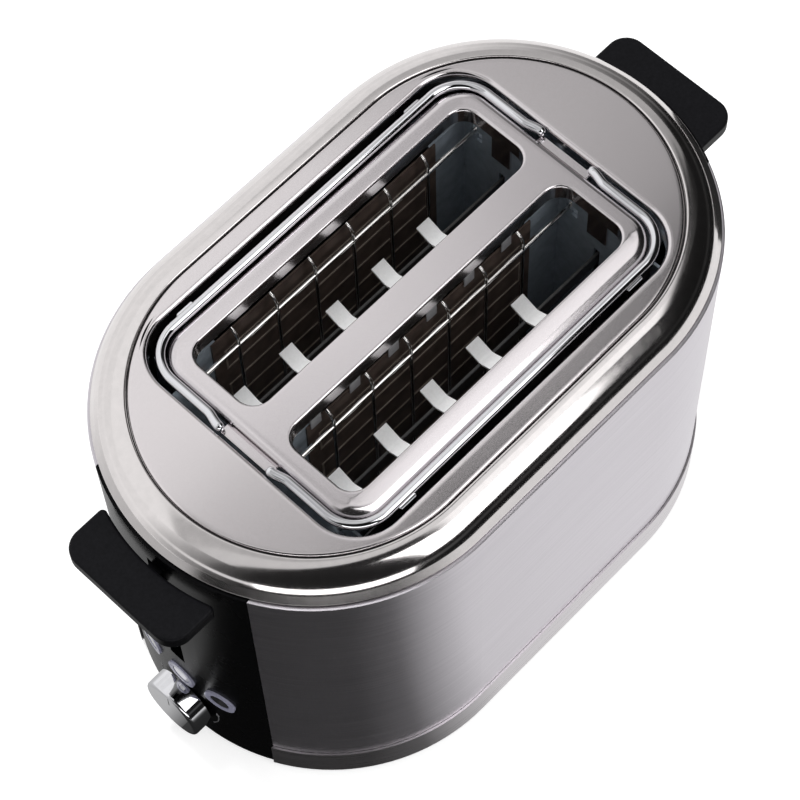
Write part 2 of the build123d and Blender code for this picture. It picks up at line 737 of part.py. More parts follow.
# Heat shields between the end plates, outside the heater boards
for side, name in ((-1, "front_heat_shield"), (1, "rear_heat_shield")):
    shield_face = side * shield_offset - shield_sheet / 2
    with BuildPart() as heat_shield:
        block(-frame_in, frame_in, shield_face, shield_face + shield_sheet, shield_bottom, frame_top)
    save(heat_shield.part, name)

place_names = {(-1, -1): "front_outer", (-1, 1): "front_inner", (1, -1): "rear_inner", (1, 1): "rear_outer"}
ribbon_pitch = (board_top - board_bottom - 2 * ribbon_margin) / (ribbon_count - 1)

# Heater boards, and the ribbon that runs to and fro on each one's slot side
for slot, side, y in board_spots:
    back = y + side * board_sheet / 2
    face = y - side * board_sheet / 2
    with BuildPart() as heater_board:
        block(-board_half_length, board_half_length, back, face, board_bottom, board_top)
    save(heater_board.part, f"{place_names[slot, side]}_board")

    with BuildPart() as heater_ribbon:
        for row in range(ribbon_count):
            height = board_bottom + ribbon_margin + row * ribbon_pitch
            block(-ribbon_half_length, ribbon_half_length, face, face - side * ribbon_sheet,
                  height - ribbon_width / 2, height + ribbon_width / 2)
            if row < ribbon_count - 1:
                turn = ribbon_half_length if row % 2 else -ribbon_half_length
                block(turn - ribbon_width / 2, turn + ribbon_width / 2, face, face - side * ribbon_sheet,
                      height - ribbon_width / 2, height + ribbon_pitch + ribbon_width / 2)
    save(heater_ribbon.part, f"{place_names[slot, side]}_ribbon")

# Sliding bread guides: two rails through the end plates, upright wires with hooked tips
for slot, side, y in guide_spots:
    with BuildPart() as bread_guide:
        for post in range(guide_posts):
            x = (post - (guide_posts - 1) / 2) * guide_pitch
            with BuildLine() as wire:
                Polyline((x, y, guide_bottom), (x, y, hook_start), (x, y + side * hook_reach, hook_top))
            with BuildSketch(Plane.XY.offset(guide_bottom)):
                with Locations((x, y)):
                    Circle(guide_wire)
            sweep(path=wire.line, transition=Transition.ROUND)
        for height in (guide_bottom, guide_top):
            rod((-guide_half_length, y, height), (guide_half_length, y, height), guide_rail)
    save(bread_guide.part, f"{place_names[slot, side]}_guide")


def rod_pair(x, y, bottom, radius):
    """Adds two upright rods, mirrored across the middle, up to the top of the bracket that holds them."""
    for side in (-1, 1):
        upright(x, side * y, bottom, bracket_top, radius)


def rod_holes(x, y, bottom, top, radius):
    """Cuts the holes of two upright rods."""
    for side in (-1, 1):
        upright(x, side * y, bottom, top, radius, mode=Mode.SUBTRACT)


def keep_inside_body():
    """Trims a bracket to the inside of the body, where its corners would touch the rounded end."""
    with BuildSketch() as outline:
        SlotCenterToCenter(2 * end_centre, 2 * (liner_radius - bracket_gap))
    extrude(outline.sketch, amount=wall_top, mode=Mode.INTERSECT)


# Bracket over the toast carriage's rods
with BuildPart() as carriage_bracket:
    block(-near_bracket_end, -frame_out, -bracket_half_width, bracket_half_width, bracket_bottom, bracket_top)
    block(-frame_out - bracket_flange_sheet, -frame_out, -bracket_half_width, bracket_half_width,
          bracket_bottom - bracket_flange, bracket_bottom)
    keep_inside_body()
    rod_holes(-slider_middle, carriage_rod_y, bracket_bottom, bracket_top, guide_rod)
save(carriage_bracket.part, "carriage_bracket")

with BuildPart() as carriage_guide_rods:
    rod_pair(-slider_middle, carriage_rod_y, base_top, guide_rod)
save(carriage_guide_rods.part, "carriage_guide_rods")

# Electromagnet that holds the carriage down: three-legged core with a yoke on the end plate, and its coil
with BuildPart() as magnet_core:
    block(-magnet_end, -frame_out, -magnet_half_width, magnet_half_width, magnet_bottom,
          magnet_bottom + magnet_leg)
    for side in (-1, 1):
        block(-magnet_end, -armature_end, side * (magnet_half_width - magnet_leg), side * magnet_half_width,
              magnet_bottom, magnet_top)
    block(-magnet_end, -armature_end, -magnet_core_half, magnet_core_half, magnet_bottom, magnet_top)
save(magnet_core.part, "magnet_core")

with BuildPart() as magnet_coil:
    block(-magnet_end - magnet_coil_margin, -armature_end + magnet_coil_margin, -magnet_coil_half_width,
          magnet_coil_half_width, magnet_bottom + magnet_leg, magnet_top - magnet_leg)
    block(-magnet_end, -armature_end, -magnet_core_half, magnet_core_half, magnet_bottom, magnet_top,
          mode=Mode.SUBTRACT)
save(magnet_coil.part, "magnet_coil")

# Slider of the toast carriage, with bushes for its rods and an arm under the spring
with BuildPart() as carriage_slider:
    block(-slider_out, -slider_in, -slider_half_width, slider_half_width, slider_bottom, slider_top)
    arm_bottom, arm_end = spring_foot - spring_arm, spring_y + spring_radius
    block(-slider_out - spring_arm, -slider_out, slider_half_width - spring_arm_root, arm_end,
          arm_bottom, slider_bottom + spring_arm)
    block(-slider_out, -slider_middle + spring_radius, spring_y - spring_radius, arm_end, arm_bottom,
          spring_foot)
    rod_holes(-slider_middle, carriage_rod_y, slider_bottom, slider_top, guide_rod + run_gap)
save(carriage_slider.part, "carriage_slider")

with BuildPart() as armature:
    block(-slider_out, -armature_end, -armature_half_width, armature_half_width, armature_bottom,
          slider_bottom)
save(armature.part, "armature")

# Return spring of the carriage, from the slider's arm up to the bracket
with BuildPart() as carriage_spring:
    with BuildLine() as coil:
        Helix((spring_length - 2 * spring_wire) / spring_turns, spring_length - 2 * spring_wire,
              spring_radius - spring_wire, center=(-slider_middle, spring_y, spring_foot + spring_wire))
    with BuildSketch(Plane(origin=coil.line @ 0, z_dir=coil.line % 0)):
        Circle(spring_wire)
    sweep(path=coil.line)
save(carriage_spring.part, "carriage_spring")

# Bread lifters, each an upright strip under a slot with bent tabs along its top
for side, name in ((-1, "front_lifter"), (1, "rear_lifter")):
    y = side * slot_offset
    with BuildPart() as lifter:
        block(-slider_in, lifter_end, y - lifter_sheet / 2, y + lifter_sheet / 2, lifter_bottom, lifter_top)
        for tab in range(tab_count):
            near_edge = (tab_start + tab * tab_pitch - tab_width / 2, y, lifter_top)
            with BuildSketch(Plane(origin=near_edge, x_dir=(0, 1, 0), z_dir=(1, 0, 0))):
                with BuildLine():
                    Polyline((-tab_reach, tab_rise), (0, 0), (tab_reach, tab_rise),
                             (tab_reach, tab_rise - lifter_sheet), (0, -lifter_sheet),
                             (-tab_reach, tab_rise - lifter_sheet), close=True)
                make_face()
            extrude(amount=tab_width)
    save(lifter.part, name)


def lever(end, slider_face):
    """Adds a lever: the handle outside the end cap, and the stem that joins it to its slider."""
    with BuildSketch(Plane.XY.offset(handle_bottom)) as outline:
        with Locations((end * (end_centre + handle_reach) / 2, 0)):
            Rectangle(handle_reach - end_centre, 2 * handle_half_width)
        with Locations((end * end_centre, 0)):
            Circle(handle_inner, mode=Mode.SUBTRACT)
        fillet(sorted(outline.vertices(), key=lambda spot: abs(spot.X))[-2:], radius=handle_corner)
        fillet(sorted(outline.vertices(), key=lambda spot: abs(spot.X))[:2], radius=handle_inner_corner)
    extrude(outline.sketch, amount=handle_thickness)
    levels = edges().group_by(Axis.Z)
    fillet(levels[0] + levels[-1], radius=handle_edge)
    block(end * slider_face, end * (end_centre + handle_inner + stem_sink), -stem_half_width, stem_half_width,
          stem_bottom, stem_top)


# Toast lever and rack lever
with BuildPart() as toast_lever:
    lever(-1, slider_out)
save(toast_lever.part, "toast_lever")

with BuildPart() as rack_lever:
    lever(1, rack_slider_out)
save(rack_lever.part, "rack_lever")

# Slider of the rack lever, with the pin that turns the rocker
with BuildPart() as rack_slider:
    block(rack_slider_in, rack_slider_out, -rack_slider_front, rack_slider_rear, slider_bottom, slider_top)
    rod_holes(rack_slider_middle, rack_rod_y, slider_bottom, slider_top, guide_rod + run_gap)
    pin_start = (rack_slider_in, -rocker_reach, lever_pin_height)
    rod(pin_start, (rocker_x - pin_end, -rocker_reach, lever_pin_height), rocker_pin)
save(rack_slider.part, "rack_slider")

# Rocker arm that turns the lever's way down into the rack's way up
with BuildPart() as rocker:
    with BuildSketch(Plane(origin=(rocker_x, 0, pivot_height), x_dir=(0, 1, 0), z_dir=(1, 0, 0))):
        SlotCenterToCenter(2 * pin_reach, 2 * (rocker_pin + rocker_play + rocker_rim), rotation=-rocker_tilt)
        Circle(rocker_hub)
        Circle(pivot_pin + run_gap, mode=Mode.SUBTRACT)
        with PolarLocations((rocker_reach + pin_reach) / 2, 2, start_angle=-rocker_tilt):
            SlotCenterToCenter(pin_reach - rocker_reach, 2 * (rocker_pin + rocker_play), mode=Mode.SUBTRACT)
    extrude(amount=rocker_sheet)
save(rocker.part, "rocker_arm")

# Bracket over the far rods, with the strap and stud that carry the rocker
with BuildPart() as far_bracket:
    block(frame_out, far_bracket_end, -bracket_half_width, bracket_half_width, bracket_bottom, bracket_top)
    block(frame_out, frame_out + bracket_flange_sheet, -bracket_half_width, bracket_half_width,
          bracket_bottom - bracket_flange, bracket_bottom)
    keep_inside_body()
    block(strap_x, strap_x + strap_sheet, -strap_half_width, strap_half_width, strap_bottom, bracket_bottom)
    head_face = rocker_x - rocker_side_play
    head_end = (head_face - pivot_head_length, 0, pivot_height)
    strap_face = (strap_x, 0, pivot_height)
    rod(head_end, strap_face, pivot_pin)
    rod(head_end, (head_face, 0, pivot_height), pivot_head)
    rod((rocker_out + rocker_side_play, 0, pivot_height), strap_face, pivot_head)
    rod_holes(lift_rod_x, lift_rod_y, bracket_bottom, bracket_top, lift_rod)
    rod_holes(rack_slider_middle, rack_rod_y, bracket_bottom, bracket_top, guide_rod)
save(far_bracket.part, "far_bracket")

# Shelf over the crumb tray that holds the far rods' lower ends
with BuildPart() as far_shelf:
    block(frame_out, far_bracket_end, -bracket_half_width, bracket_half_width, shelf_bottom, shelf_top)
    block(frame_out, frame_out + bracket_flange_sheet, -bracket_half_width, bracket_half_width, shelf_top,
          shelf_top + bracket_flange)
    keep_inside_body()
    rod_holes(lift_rod_x, lift_rod_y, shelf_bottom, shelf_top, lift_rod)
    rod_holes(rack_slider_middle, rack_rod_y, shelf_bottom, shelf_top, guide_rod)
save(far_shelf.part, "far_shelf")

with BuildPart() as lift_guide_rods:
    rod_pair(lift_rod_x, lift_rod_y, shelf_bottom, lift_rod)
save(lift_guide_rods.part, "lift_guide_rods")

with BuildPart() as lever_guide_rods:
    rod_pair(rack_slider_middle, rack_rod_y, shelf_bottom, guide_rod)
save(lever_guide_rods.part, "lever_guide_rods")

# Terminal block on the shelf, next to the cord inlet
with BuildPart() as terminal_block:
    block(terminal_x - terminal_half_x, terminal_x + terminal_half_x, inlet_y - terminal_half_y,
          inlet_y + terminal_half_y, shelf_top, shelf_top + terminal_height)
    for y in (inlet_y - terminal_half_y / 2, inlet_y + terminal_half_y / 2):
        upright(terminal_x, y, shelf_top + terminal_height / 2, shelf_top + terminal_height, screw_radius,
                mode=Mode.SUBTRACT)
save(terminal_block.part, "terminal_block")

# Lift frame: two side arms, the cross bar behind the frame, its bushed lugs and the pin in the rocker
with BuildPart() as rack_lift_frame:
    for side in (-1, 1):
        block(-lift_start, lift_bar_out, side * leg_outer, side * arm_outer, lift_bottom, lift_top)
        block(lift_bar_out, lift_lug_end, side * (lift_rod_y - lift_lug_half_width),
              side * (lift_rod_y + lift_lug_half_width), lift_bottom, lift_top)
    block(lift_bar_x, lift_bar_out, -arm_outer, arm_outer, lift_bottom, lift_top)
    rod_holes(lift_rod_x, lift_rod_y, lift_bottom, lift_top, lift_rod + run_gap)
    pin_start = (lift_bar_out, rocker_reach, lift_pin_height)
    rod(pin_start, (rocker_out + pin_end, rocker_reach, lift_pin_height), rocker_pin)
save(rack_lift_frame.part, "rack_lift_frame")

# Rods of the warming rack, one along each side, with the legs that stand on the lift frame
for side, name in ((-1, "front_rack_rod"), (1, "rear_rack_rod")):
    corner_x, corner_y = rack_half_x - rack_corner, side * (rack_half_y - rack_corner)
    side_y, tip_start, tip_y = side * rack_half_y, side * rack_tip_start, side * rack_tip_y
    with BuildPart() as rack_rod:
        with BuildLine(Plane.XY.offset(rack_height)) as path:
            Polyline((-rack_tip_x, tip_y), (-rack_half_x, tip_start), (-rack_half_x, corner_y))
            RadiusArc((-rack_half_x, corner_y), (-corner_x, side_y), side * rack_corner)
            Line((-corner_x, side_y), (corner_x, side_y))
            RadiusArc((corner_x, side_y), (rack_half_x, corner_y), side * rack_corner)
            Polyline((rack_half_x, corner_y), (rack_half_x, tip_start), (rack_tip_x, tip_y))
        with BuildSketch(Plane(origin=path.line @ 0, z_dir=path.line % 0)):
            Circle(rack_wire)
        sweep(path=path.line, transition=Transition.ROUND)
        for end in (-1, 1):
            ball((end * rack_tip_x, tip_y, rack_height), rack_wire)
            leg_edge = end * leg_x - leg_width / 2
            block(leg_edge, leg_edge + leg_width, side * leg_inner, side * leg_outer, lift_bottom, rack_height)
    save(rack_rod.part, name)

knob_front = -near_face - knob_gap - knob_length
knob_plane = Plane(origin=(-near_face - knob_gap, 0, knob_height), z_dir=(-1, 0, 0))
pot_plane = Plane(origin=(-circuit_face, 0, knob_height), z_dir=(-1, 0, 0))

# Browning knob with its pointer groove
with BuildPart() as browning_knob:
    disc(knob_plane, knob_radius, 0, knob_length)
    fillet(edges().sort_by(Axis.X)[0], radius=knob_edge)
    disc(knob_plane, shaft_radius, 0, knob_length - knob_skin, mode=Mode.SUBTRACT)
    line_top = knob_height + knob_radius - knob_edge
    block(knob_front, knob_front + knob_line, -knob_line / 2, knob_line / 2, line_top - knob_line_length,
          line_top, mode=Mode.SUBTRACT)
save(browning_knob.part, "browning_knob")

with BuildPart() as knob_shaft:
    rod((-circuit_face - slide_gap, 0, knob_height), (knob_front + knob_skin, 0, knob_height), shaft_radius)
save(knob_shaft.part, "knob_shaft")

# Potentiometer that the knob's shaft turns in
with BuildPart() as potentiometer:
    disc(pot_plane, pot_radius, 0, pot_length)
    disc(pot_plane, shaft_radius + run_gap, 0, pot_length, mode=Mode.SUBTRACT)
save(potentiometer.part, "potentiometer")

with BuildPart() as circuit_board:
    block(-circuit_face, -circuit_face + circuit_sheet, -circuit_half_width, circuit_half_width, base_top,
          circuit_top)
save(circuit_board.part, "circuit_board")

switch_face = circuit_face + switch_depth

# Switches on the circuit board, one behind each button
with BuildPart() as switches:
    for angle in button_angles:
        y = (switch_face - end_centre) * tan(angle)
        block(-switch_face, -circuit_face, y - switch_size / 2, y + switch_size / 2,
              button_height - switch_size / 2, button_height + switch_size / 2)
save(switches.part, "switches")

# Pale rings in the cap, one round each button
with BuildPart() as button_rings:
    for plane in button_planes:
        disc(plane, ring_radius, -ring_seat, ring_proud)
        disc(plane, ring_body, -ring_depth, 0)
        disc(plane, ring_bore, -ring_depth, ring_proud, mode=Mode.SUBTRACT)
save(button_rings.part, "button_rings")

# Buttons: head through the ring, flange behind it, stem toward the switch
for angle, plane, name in zip(button_angles, button_planes, ("front_button", "middle_button", "rear_button")):
    flange_front = -ring_depth - slide_gap
    stem_end = (switch_face - end_centre + button_travel + button_play) / cos(angle) - body_radius
    with BuildPart() as button:
        disc(plane, button_radius, flange_front, button_proud)
        disc(plane, button_flange, flange_front - button_flange_length, flange_front)
        disc(plane, button_stem, stem_end, flange_front)
    save(button.part, name)


def tray_pan(inset, end_radius, bottom, top, mode=Mode.ADD):
    """Adds or cuts the pan's shape, whose far end follows the rounded end of the body."""
    near, half = -tray_near_end + inset, tray_half_width - inset
    with BuildSketch(Plane.XY.offset(bottom)) as outline:
        SlotCenterToCenter(2 * end_centre, 2 * end_radius)
        with Locations(((near + far_out) / 2, 0)):
            Rectangle(far_out - near, 2 * half, mode=Mode.INTERSECT)
    extrude(outline.sketch, amount=top - bottom, mode=mode)


# Crumb tray: a shallow pan under the frame, with a front that closes the far cap's opening
with BuildPart() as crumb_tray:
    tray_pan(0, body_radius, tray_bottom, tray_top)
    tray_pan(tray_sheet, liner_radius, tray_bottom + tray_sheet, tray_top, mode=Mode.SUBTRACT)
    wall(body_radius, liner_radius, tray_bottom, tray_roof - slide_gap, end_window(1, tray_front_half))
    wall(body_radius + tray_lip_reach, liner_radius, tray_lip_top - tray_lip_sheet, tray_lip_top,
         end_window(1, tray_lip_half))
save(crumb_tray.part, "crumb_tray")
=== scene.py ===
from math import cos, pi, radians, sin, sqrt

import bmesh
import bpy
from mathutils import Matrix, Vector


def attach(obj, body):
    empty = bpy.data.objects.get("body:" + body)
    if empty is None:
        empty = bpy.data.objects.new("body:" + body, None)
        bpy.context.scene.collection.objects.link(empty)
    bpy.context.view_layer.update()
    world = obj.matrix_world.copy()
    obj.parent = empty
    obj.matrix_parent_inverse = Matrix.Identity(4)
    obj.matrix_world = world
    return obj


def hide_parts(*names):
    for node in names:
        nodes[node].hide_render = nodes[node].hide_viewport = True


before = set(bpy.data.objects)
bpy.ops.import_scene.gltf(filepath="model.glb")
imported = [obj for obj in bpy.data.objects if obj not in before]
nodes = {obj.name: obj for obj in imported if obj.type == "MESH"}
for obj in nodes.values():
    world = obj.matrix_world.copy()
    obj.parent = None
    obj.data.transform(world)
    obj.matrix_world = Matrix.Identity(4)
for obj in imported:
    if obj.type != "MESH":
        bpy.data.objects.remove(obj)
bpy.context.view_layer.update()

# Plan sizes shared by several pieces, in metres
END_CENTRE = 0.0515        # middle of the toaster to the centre of each rounded end
BODY_RADIUS = 0.086        # outside of the side sheets
RIDGE_RADIUS = 0.0704      # inner edge of the trim ring
PANEL_RADIUS = 0.0697      # outer edge of the top panel
PLATE_HALF_X, PLATE_HALF_Y, PLATE_CORNER = 0.0845, 0.054, 0.015    # slot plate
MOUTH_HALF_X, MOUTH_HALF_Y, MOUTH_CORNER = 0.0903, 0.0609, 0.02    # opening of the top panel
MOUTH_SHIFT = 0.0005       # how far the opening's middle lies to the rear
SLOT_HALF_X, SLOT_HALF_Y, SLOT_CORNER = 0.0757, 0.0181, 0.008      # each bread slot
SLOT_OFFSET = 0.0255       # middle of the toaster to the middle of each slot
ROD_HALF_X, ROD_HALF_Y, ROD_CORNER = 0.0864, 0.0559, 0.016         # middle line of the rack's rods
WIRE_PITCH = 0.021         # between two wires of a bread guide

# Y of the heater boards' faces towards the slots, and of the bread guides
BOARD_FACES = {"front_outer": -0.0456, "front_inner": -0.0054, "rear_inner": 0.0054, "rear_outer": 0.0456}
GUIDES = {"front_outer": -0.041, "front_inner": -0.01, "rear_inner": 0.01, "rear_outer": 0.041}

# Heights
DECK = 0.1862              # top of the trim ring and the top panel
PLATE_TOP = 0.1875         # top of the slot plate
PLATE_FOOT = 0.1818        # foot of its shoulder
ROD_HEIGHT = 0.1855
GUIDE_RAILS = (0.05, 0.166)
HOOK_START = 0.169         # where the guide wires start to bend
LIFTER_TOP = 0.147
KNOB_HEIGHT = 0.027

# Thickness of the slot plate's sheet
PLATE_SHEET = 0.0012


# Node helpers

def step(tree, kind, links=None, **settings):
    """Adds a node, sets its properties and constants, and links its inputs by name or place."""
    node = tree.nodes.new(kind)
    for key, value in settings.items():
        if hasattr(node, key):
            setattr(node, key, value)
        else:
            node.inputs[key.replace("_", " ")].default_value = value
    for key, source in (links or {}).items():
        tree.links.new(source, node.inputs[key])
    return node


def feed(tree, node, terms):
    """Gives a node's inputs, in their order, a link or a number each, and returns its result."""
    for place, term in zip(node.inputs, terms):
        if isinstance(term, (int, float)):
            place.default_value = term
        else:
            tree.links.new(term, place)
    return node.outputs[0]


def maths(tree, operation, *terms):
    """The result of a sum on outputs and numbers."""
    return feed(tree, step(tree, "ShaderNodeMath", operation=operation), terms)


def combined(tree, *parts):
    """A vector from its X, Y and Z."""
    return feed(tree, tree.nodes.new("ShaderNodeCombineXYZ"), parts)


def map_range(tree, value, start, end, low=0.0, high=1.0, kind="LINEAR"):
    """Maps a value from one range onto another, and holds it at the ends."""
    node = step(tree, "ShaderNodeMapRange", {"Value": value}, interpolation_type=kind, From_Min=start, From_Max=end,
                To_Min=low, To_Max=high)
    return node.outputs["Result"]


# Finish helpers

def new_material(name):
    """An empty node material and its node tree."""
    material = bpy.data.materials.new(name)
    material.use_nodes = True
    material.node_tree.nodes.clear()
    return material, material.node_tree


def surface(tree, **sockets):
    """The Principled shader of a material, joined to its output."""
    shader = tree.nodes.new("ShaderNodeBsdfPrincipled")
    output = tree.nodes.new("ShaderNodeOutputMaterial")
    tree.links.new(shader.outputs["BSDF"], output.inputs["Surface"])
    for name, value in sockets.items():
        shader.inputs[name.replace("_", " ")].default_value = value
    return shader


def object_coordinates(tree, scale=(1, 1, 1)):
    """Object coordinates, stretched by a scale along each axis."""
    coordinates = tree.nodes.new("ShaderNodeTexCoord")
    mapping = step(tree, "ShaderNodeMapping", {"Vector": coordinates.outputs["Object"]}, Scale=scale)
    return mapping.outputs["Vector"]


def noise(tree, vector, scale, detail=3.0):
    """A noise texture's value."""
    texture = step(tree, "ShaderNodeTexNoise", {"Vector": vector}, Scale=scale, Detail=detail, Roughness=0.6)
    return texture.outputs["Fac"]


def spread(tree, value, low, high, half=0.25):
    """Maps a value around one half onto a range."""
    return map_range(tree, value, 0.5 - half, 0.5 + half, low, high)


def tinted(tree, value, dark, light):
    """A colour that goes from dark to light with a value."""
    mix = step(tree, "ShaderNodeMix", {"Factor": value}, data_type="RGBA", A=(*dark, 1), B=(*light, 1))
    return mix.outputs["Result"]


def apply_finish(tree, shader, colours, roughness, relief):
    """Joins a finish to its shader. Each part starts with the value it follows: colours go on with the dark and
    the light one and half the value's range, roughness with its range, relief with its strength and depth."""
    value, dark, light, half = colours
    tree.links.new(tinted(tree, spread(tree, value, 0, 1, half), dark, light), shader.inputs["Base Color"])
    tree.links.new(spread(tree, *roughness), shader.inputs["Roughness"])
    value, strength, depth = relief
    bumped = step(tree, "ShaderNodeBump", {"Height": value}, Strength=strength, Distance=depth)
    tree.links.new(bumped.outputs["Normal"], shader.inputs["Normal"])


def metal(name, dark, light, rough_low, rough_high, grain_scale, depth=0.00002, stretch=(1, 1, 1), metallic=1.0):
    """A steel finish: colour and relief follow a fine grain, roughness a broad cloud and the grain."""
    material, tree = new_material(name)
    shader = surface(tree, Metallic=metallic)
    fine = noise(tree, object_coordinates(tree, stretch), grain_scale)
    broad = noise(tree, object_coordinates(tree), 18, 2.0)
    blend = maths(tree, "MULTIPLY_ADD", fine, 0.5, maths(tree, "MULTIPLY", broad, 0.5))
    apply_finish(tree, shader, (fine, dark, light, 0.25), (blend, rough_low, rough_high), (fine, 0.2, depth))
    return material


def brushed_metal(name, dark, light, rough_low, rough_high):
    """Steel brushed along the body: long fine streaks in colour, roughness and relief, and a stretched gloss."""
    material, tree = new_material(name)
    shader = surface(tree, Metallic=1.0, Anisotropic=0.55, Anisotropic_Rotation=0.25)
    tangent = step(tree, "ShaderNodeTangent", direction_type="RADIAL", axis="Z")
    tree.links.new(tangent.outputs[0], shader.inputs["Tangent"])
    streaks = noise(tree, object_coordinates(tree, (0.3, 0.3, 30)), 60, 4.0)
    hairs = noise(tree, object_coordinates(tree, (0.6, 0.6, 90)), 60, 2.0)
    mixed = maths(tree, "MULTIPLY_ADD", hairs, 0.4, maths(tree, "MULTIPLY", streaks, 0.6))
    half = 0.13                # half the range of the mixed streaks, which is narrower than one noise's
    apply_finish(tree, shader, (mixed, dark, light, half), (mixed, rough_low, rough_high, half),
                 (mixed, 0.35, 0.00004))
    return material


def plastic(name, dark, light, rough_low, rough_high, grain_scale=900, gloss=0.5):
    """A moulded finish with a fine stipple."""
    material, tree = new_material(name)
    shader = surface(tree, Specular_IOR_Level=gloss)
    vector = object_coordinates(tree)
    fine, broad = noise(tree, vector, grain_scale), noise(tree, vector, 25)
    apply_finish(tree, shader, (fine, dark, light, 0.25), (broad, rough_low, rough_high), (fine, 0.25, 0.00004))
    return material


def dress(material, *names):
    """Gives CAD nodes a material."""
    for name in names:
        slots = nodes[name].material_slots
        for slot in slots:
            slot.material = material
        if not slots:
            nodes[name].data.materials.append(material)


# Finishes: a dark and a light colour, the range of roughness, and the grain

POLISH = 0.000002          # depth of the grain on polished and satin steel
side_steel = brushed_metal("brushed_side_steel", (0.6, 0.57, 0.61), (0.72, 0.69, 0.73), 0.28, 0.36)
plinth_steel = brushed_metal("brushed_plinth_steel", (0.58, 0.55, 0.57), (0.7, 0.67, 0.69), 0.26, 0.34)
ring_steel = metal("polished_ring_steel", (0.71, 0.68, 0.675), (0.77, 0.735, 0.73), 0.08, 0.14, 300, POLISH)
panel_steel = metal("satin_panel_steel", (0.7, 0.66, 0.67), (0.75, 0.71, 0.72), 0.12, 0.17, 1500, POLISH)
plate_steel = metal("satin_plate_steel", (0.68, 0.64, 0.655), (0.74, 0.7, 0.715), 0.13, 0.19, 1500, POLISH)
chrome = metal("bright_chrome", (0.72, 0.72, 0.74), (0.76, 0.76, 0.79), 0.04, 0.07, 300, POLISH)
frame_steel = metal("aluminised_frame_steel", (0.3, 0.35, 0.4), (0.44, 0.5, 0.56), 0.3, 0.42, 220, metallic=0.5)
clip_steel = metal("aluminised_clip_steel", (0.36, 0.36, 0.38), (0.5, 0.5, 0.52), 0.3, 0.42, 500, metallic=0.5)
shield_steel = metal("aluminised_shield_steel", (0.32, 0.32, 0.33), (0.45, 0.45, 0.46), 0.35, 0.5, 220)
wire_steel = metal("bright_guide_wire", (0.6, 0.59, 0.57), (0.76, 0.75, 0.73), 0.1, 0.18, 500)
tab_steel = metal("stamped_tab_steel", (0.86, 0.86, 0.86), (0.95, 0.95, 0.95), 0.3, 0.45, 900, metallic=0.05)
bar_steel = metal("dark_lifter_bar", (0.05, 0.05, 0.05), (0.09, 0.09, 0.09), 0.4, 0.55, 300, metallic=0.6)
tray_steel = metal("tray_steel", (0.42, 0.42, 0.42), (0.52, 0.52, 0.52), 0.3, 0.45, 80, stretch=(8, 0.3, 1))
zinc_steel = metal("zinc_plated_steel", (0.42, 0.42, 0.4), (0.56, 0.56, 0.53), 0.3, 0.45, 250)
core_iron = metal("stacked_core_iron", (0.16, 0.16, 0.17), (0.26, 0.26, 0.27), 0.4, 0.6, 90, stretch=(1, 1, 40))
winding = metal("copper_winding", (0.4, 0.17, 0.07), (0.6, 0.28, 0.12), 0.3, 0.45, 60, stretch=(1, 1, 60))
copper = metal("copper_eyelet", (0.5, 0.2, 0.08), (0.75, 0.34, 0.15), 0.25, 0.4, 300)
ribbon_alloy = metal("dull_heating_ribbon", (0.3, 0.25, 0.21), (0.5, 0.43, 0.37), 0.3, 0.45, 300, metallic=0.6)
mica = plastic("brown_mica_board", (0.038, 0.027, 0.022), (0.1, 0.072, 0.06), 0.3, 0.5, 160, 0.4)
cap_plastic = plastic("satin_cap_plastic", (0.0016, 0.0016, 0.0018), (0.0028, 0.0028, 0.0032), 0.24, 0.3, gloss=0.05)
lever_plastic = plastic("satin_lever_plastic", (0.004, 0.004, 0.0048), (0.0075, 0.0075, 0.009), 0.36, 0.44,
                        gloss=0.08)
base_plastic = plastic("moulded_base_plastic", (0.008, 0.008, 0.0085), (0.015, 0.015, 0.016), 0.45, 0.55, 500, 0.3)
# painted shade: near-black finish of the strip that stands in for the shadow in the groove between ring and panel
groove_shade_black = plastic("black_panel_seal", (0.004, 0.004, 0.004), (0.009, 0.009, 0.009), 0.4, 0.55, 600, 0.2)
rubber = plastic("matt_foot_rubber", (0.012, 0.012, 0.012), (0.022, 0.022, 0.022), 0.7, 0.85, 700, 0.2)
ring_plastic = plastic("pale_ring_plastic", (0.34, 0.34, 0.46), (0.44, 0.44, 0.56), 0.14, 0.22, 300)
mark_paint = plastic("grey_dial_paint", (0.2, 0.2, 0.21), (0.28, 0.28, 0.29), 0.4, 0.5, 700)
laminate = plastic("circuit_laminate", (0.32, 0.2, 0.07), (0.44, 0.3, 0.12), 0.4, 0.5, 300)
component_plastic = plastic("component_plastic", (0.015, 0.015, 0.017), (0.03, 0.03, 0.033), 0.35, 0.5, 400)
terminal_plastic = plastic("terminal_plastic", (0.6, 0.58, 0.52), (0.72, 0.7, 0.64), 0.4, 0.5, 400)

dress(side_steel, "front_side", "rear_side")
dress(plinth_steel, "front_plinth", "rear_plinth")
dress(frame_steel, "near_frame_plate", "far_frame_plate", "carriage_bracket", "far_bracket", "far_shelf")
dress(shield_steel, "front_heat_shield", "rear_heat_shield")
dress(chrome, "browning_knob", "front_button", "middle_button", "rear_button")
dress(zinc_steel, "carriage_guide_rods", "lift_guide_rods", "lever_guide_rods", "carriage_slider", "rack_slider",
      "rocker_arm", "rack_lift_frame", "knob_shaft", "base_screws", "carriage_spring")
dress(core_iron, "magnet_core", "armature")
dress(winding, "magnet_coil")
dress(ribbon_alloy, "front_outer_ribbon", "front_inner_ribbon", "rear_inner_ribbon", "rear_outer_ribbon")
dress(tray_steel, "crumb_tray")
dress(mica, "front_outer_board", "front_inner_board", "rear_inner_board", "rear_outer_board")
dress(cap_plastic, "control_end_cap", "far_end_cap")
dress(lever_plastic, "toast_lever", "rack_lever")
dress(base_plastic, "base", "cord_inlet")
dress(rubber, "rubber_feet")
dress(ring_plastic, "button_rings")
dress(laminate, "circuit_board")
dress(component_plastic, "switches", "potentiometer")
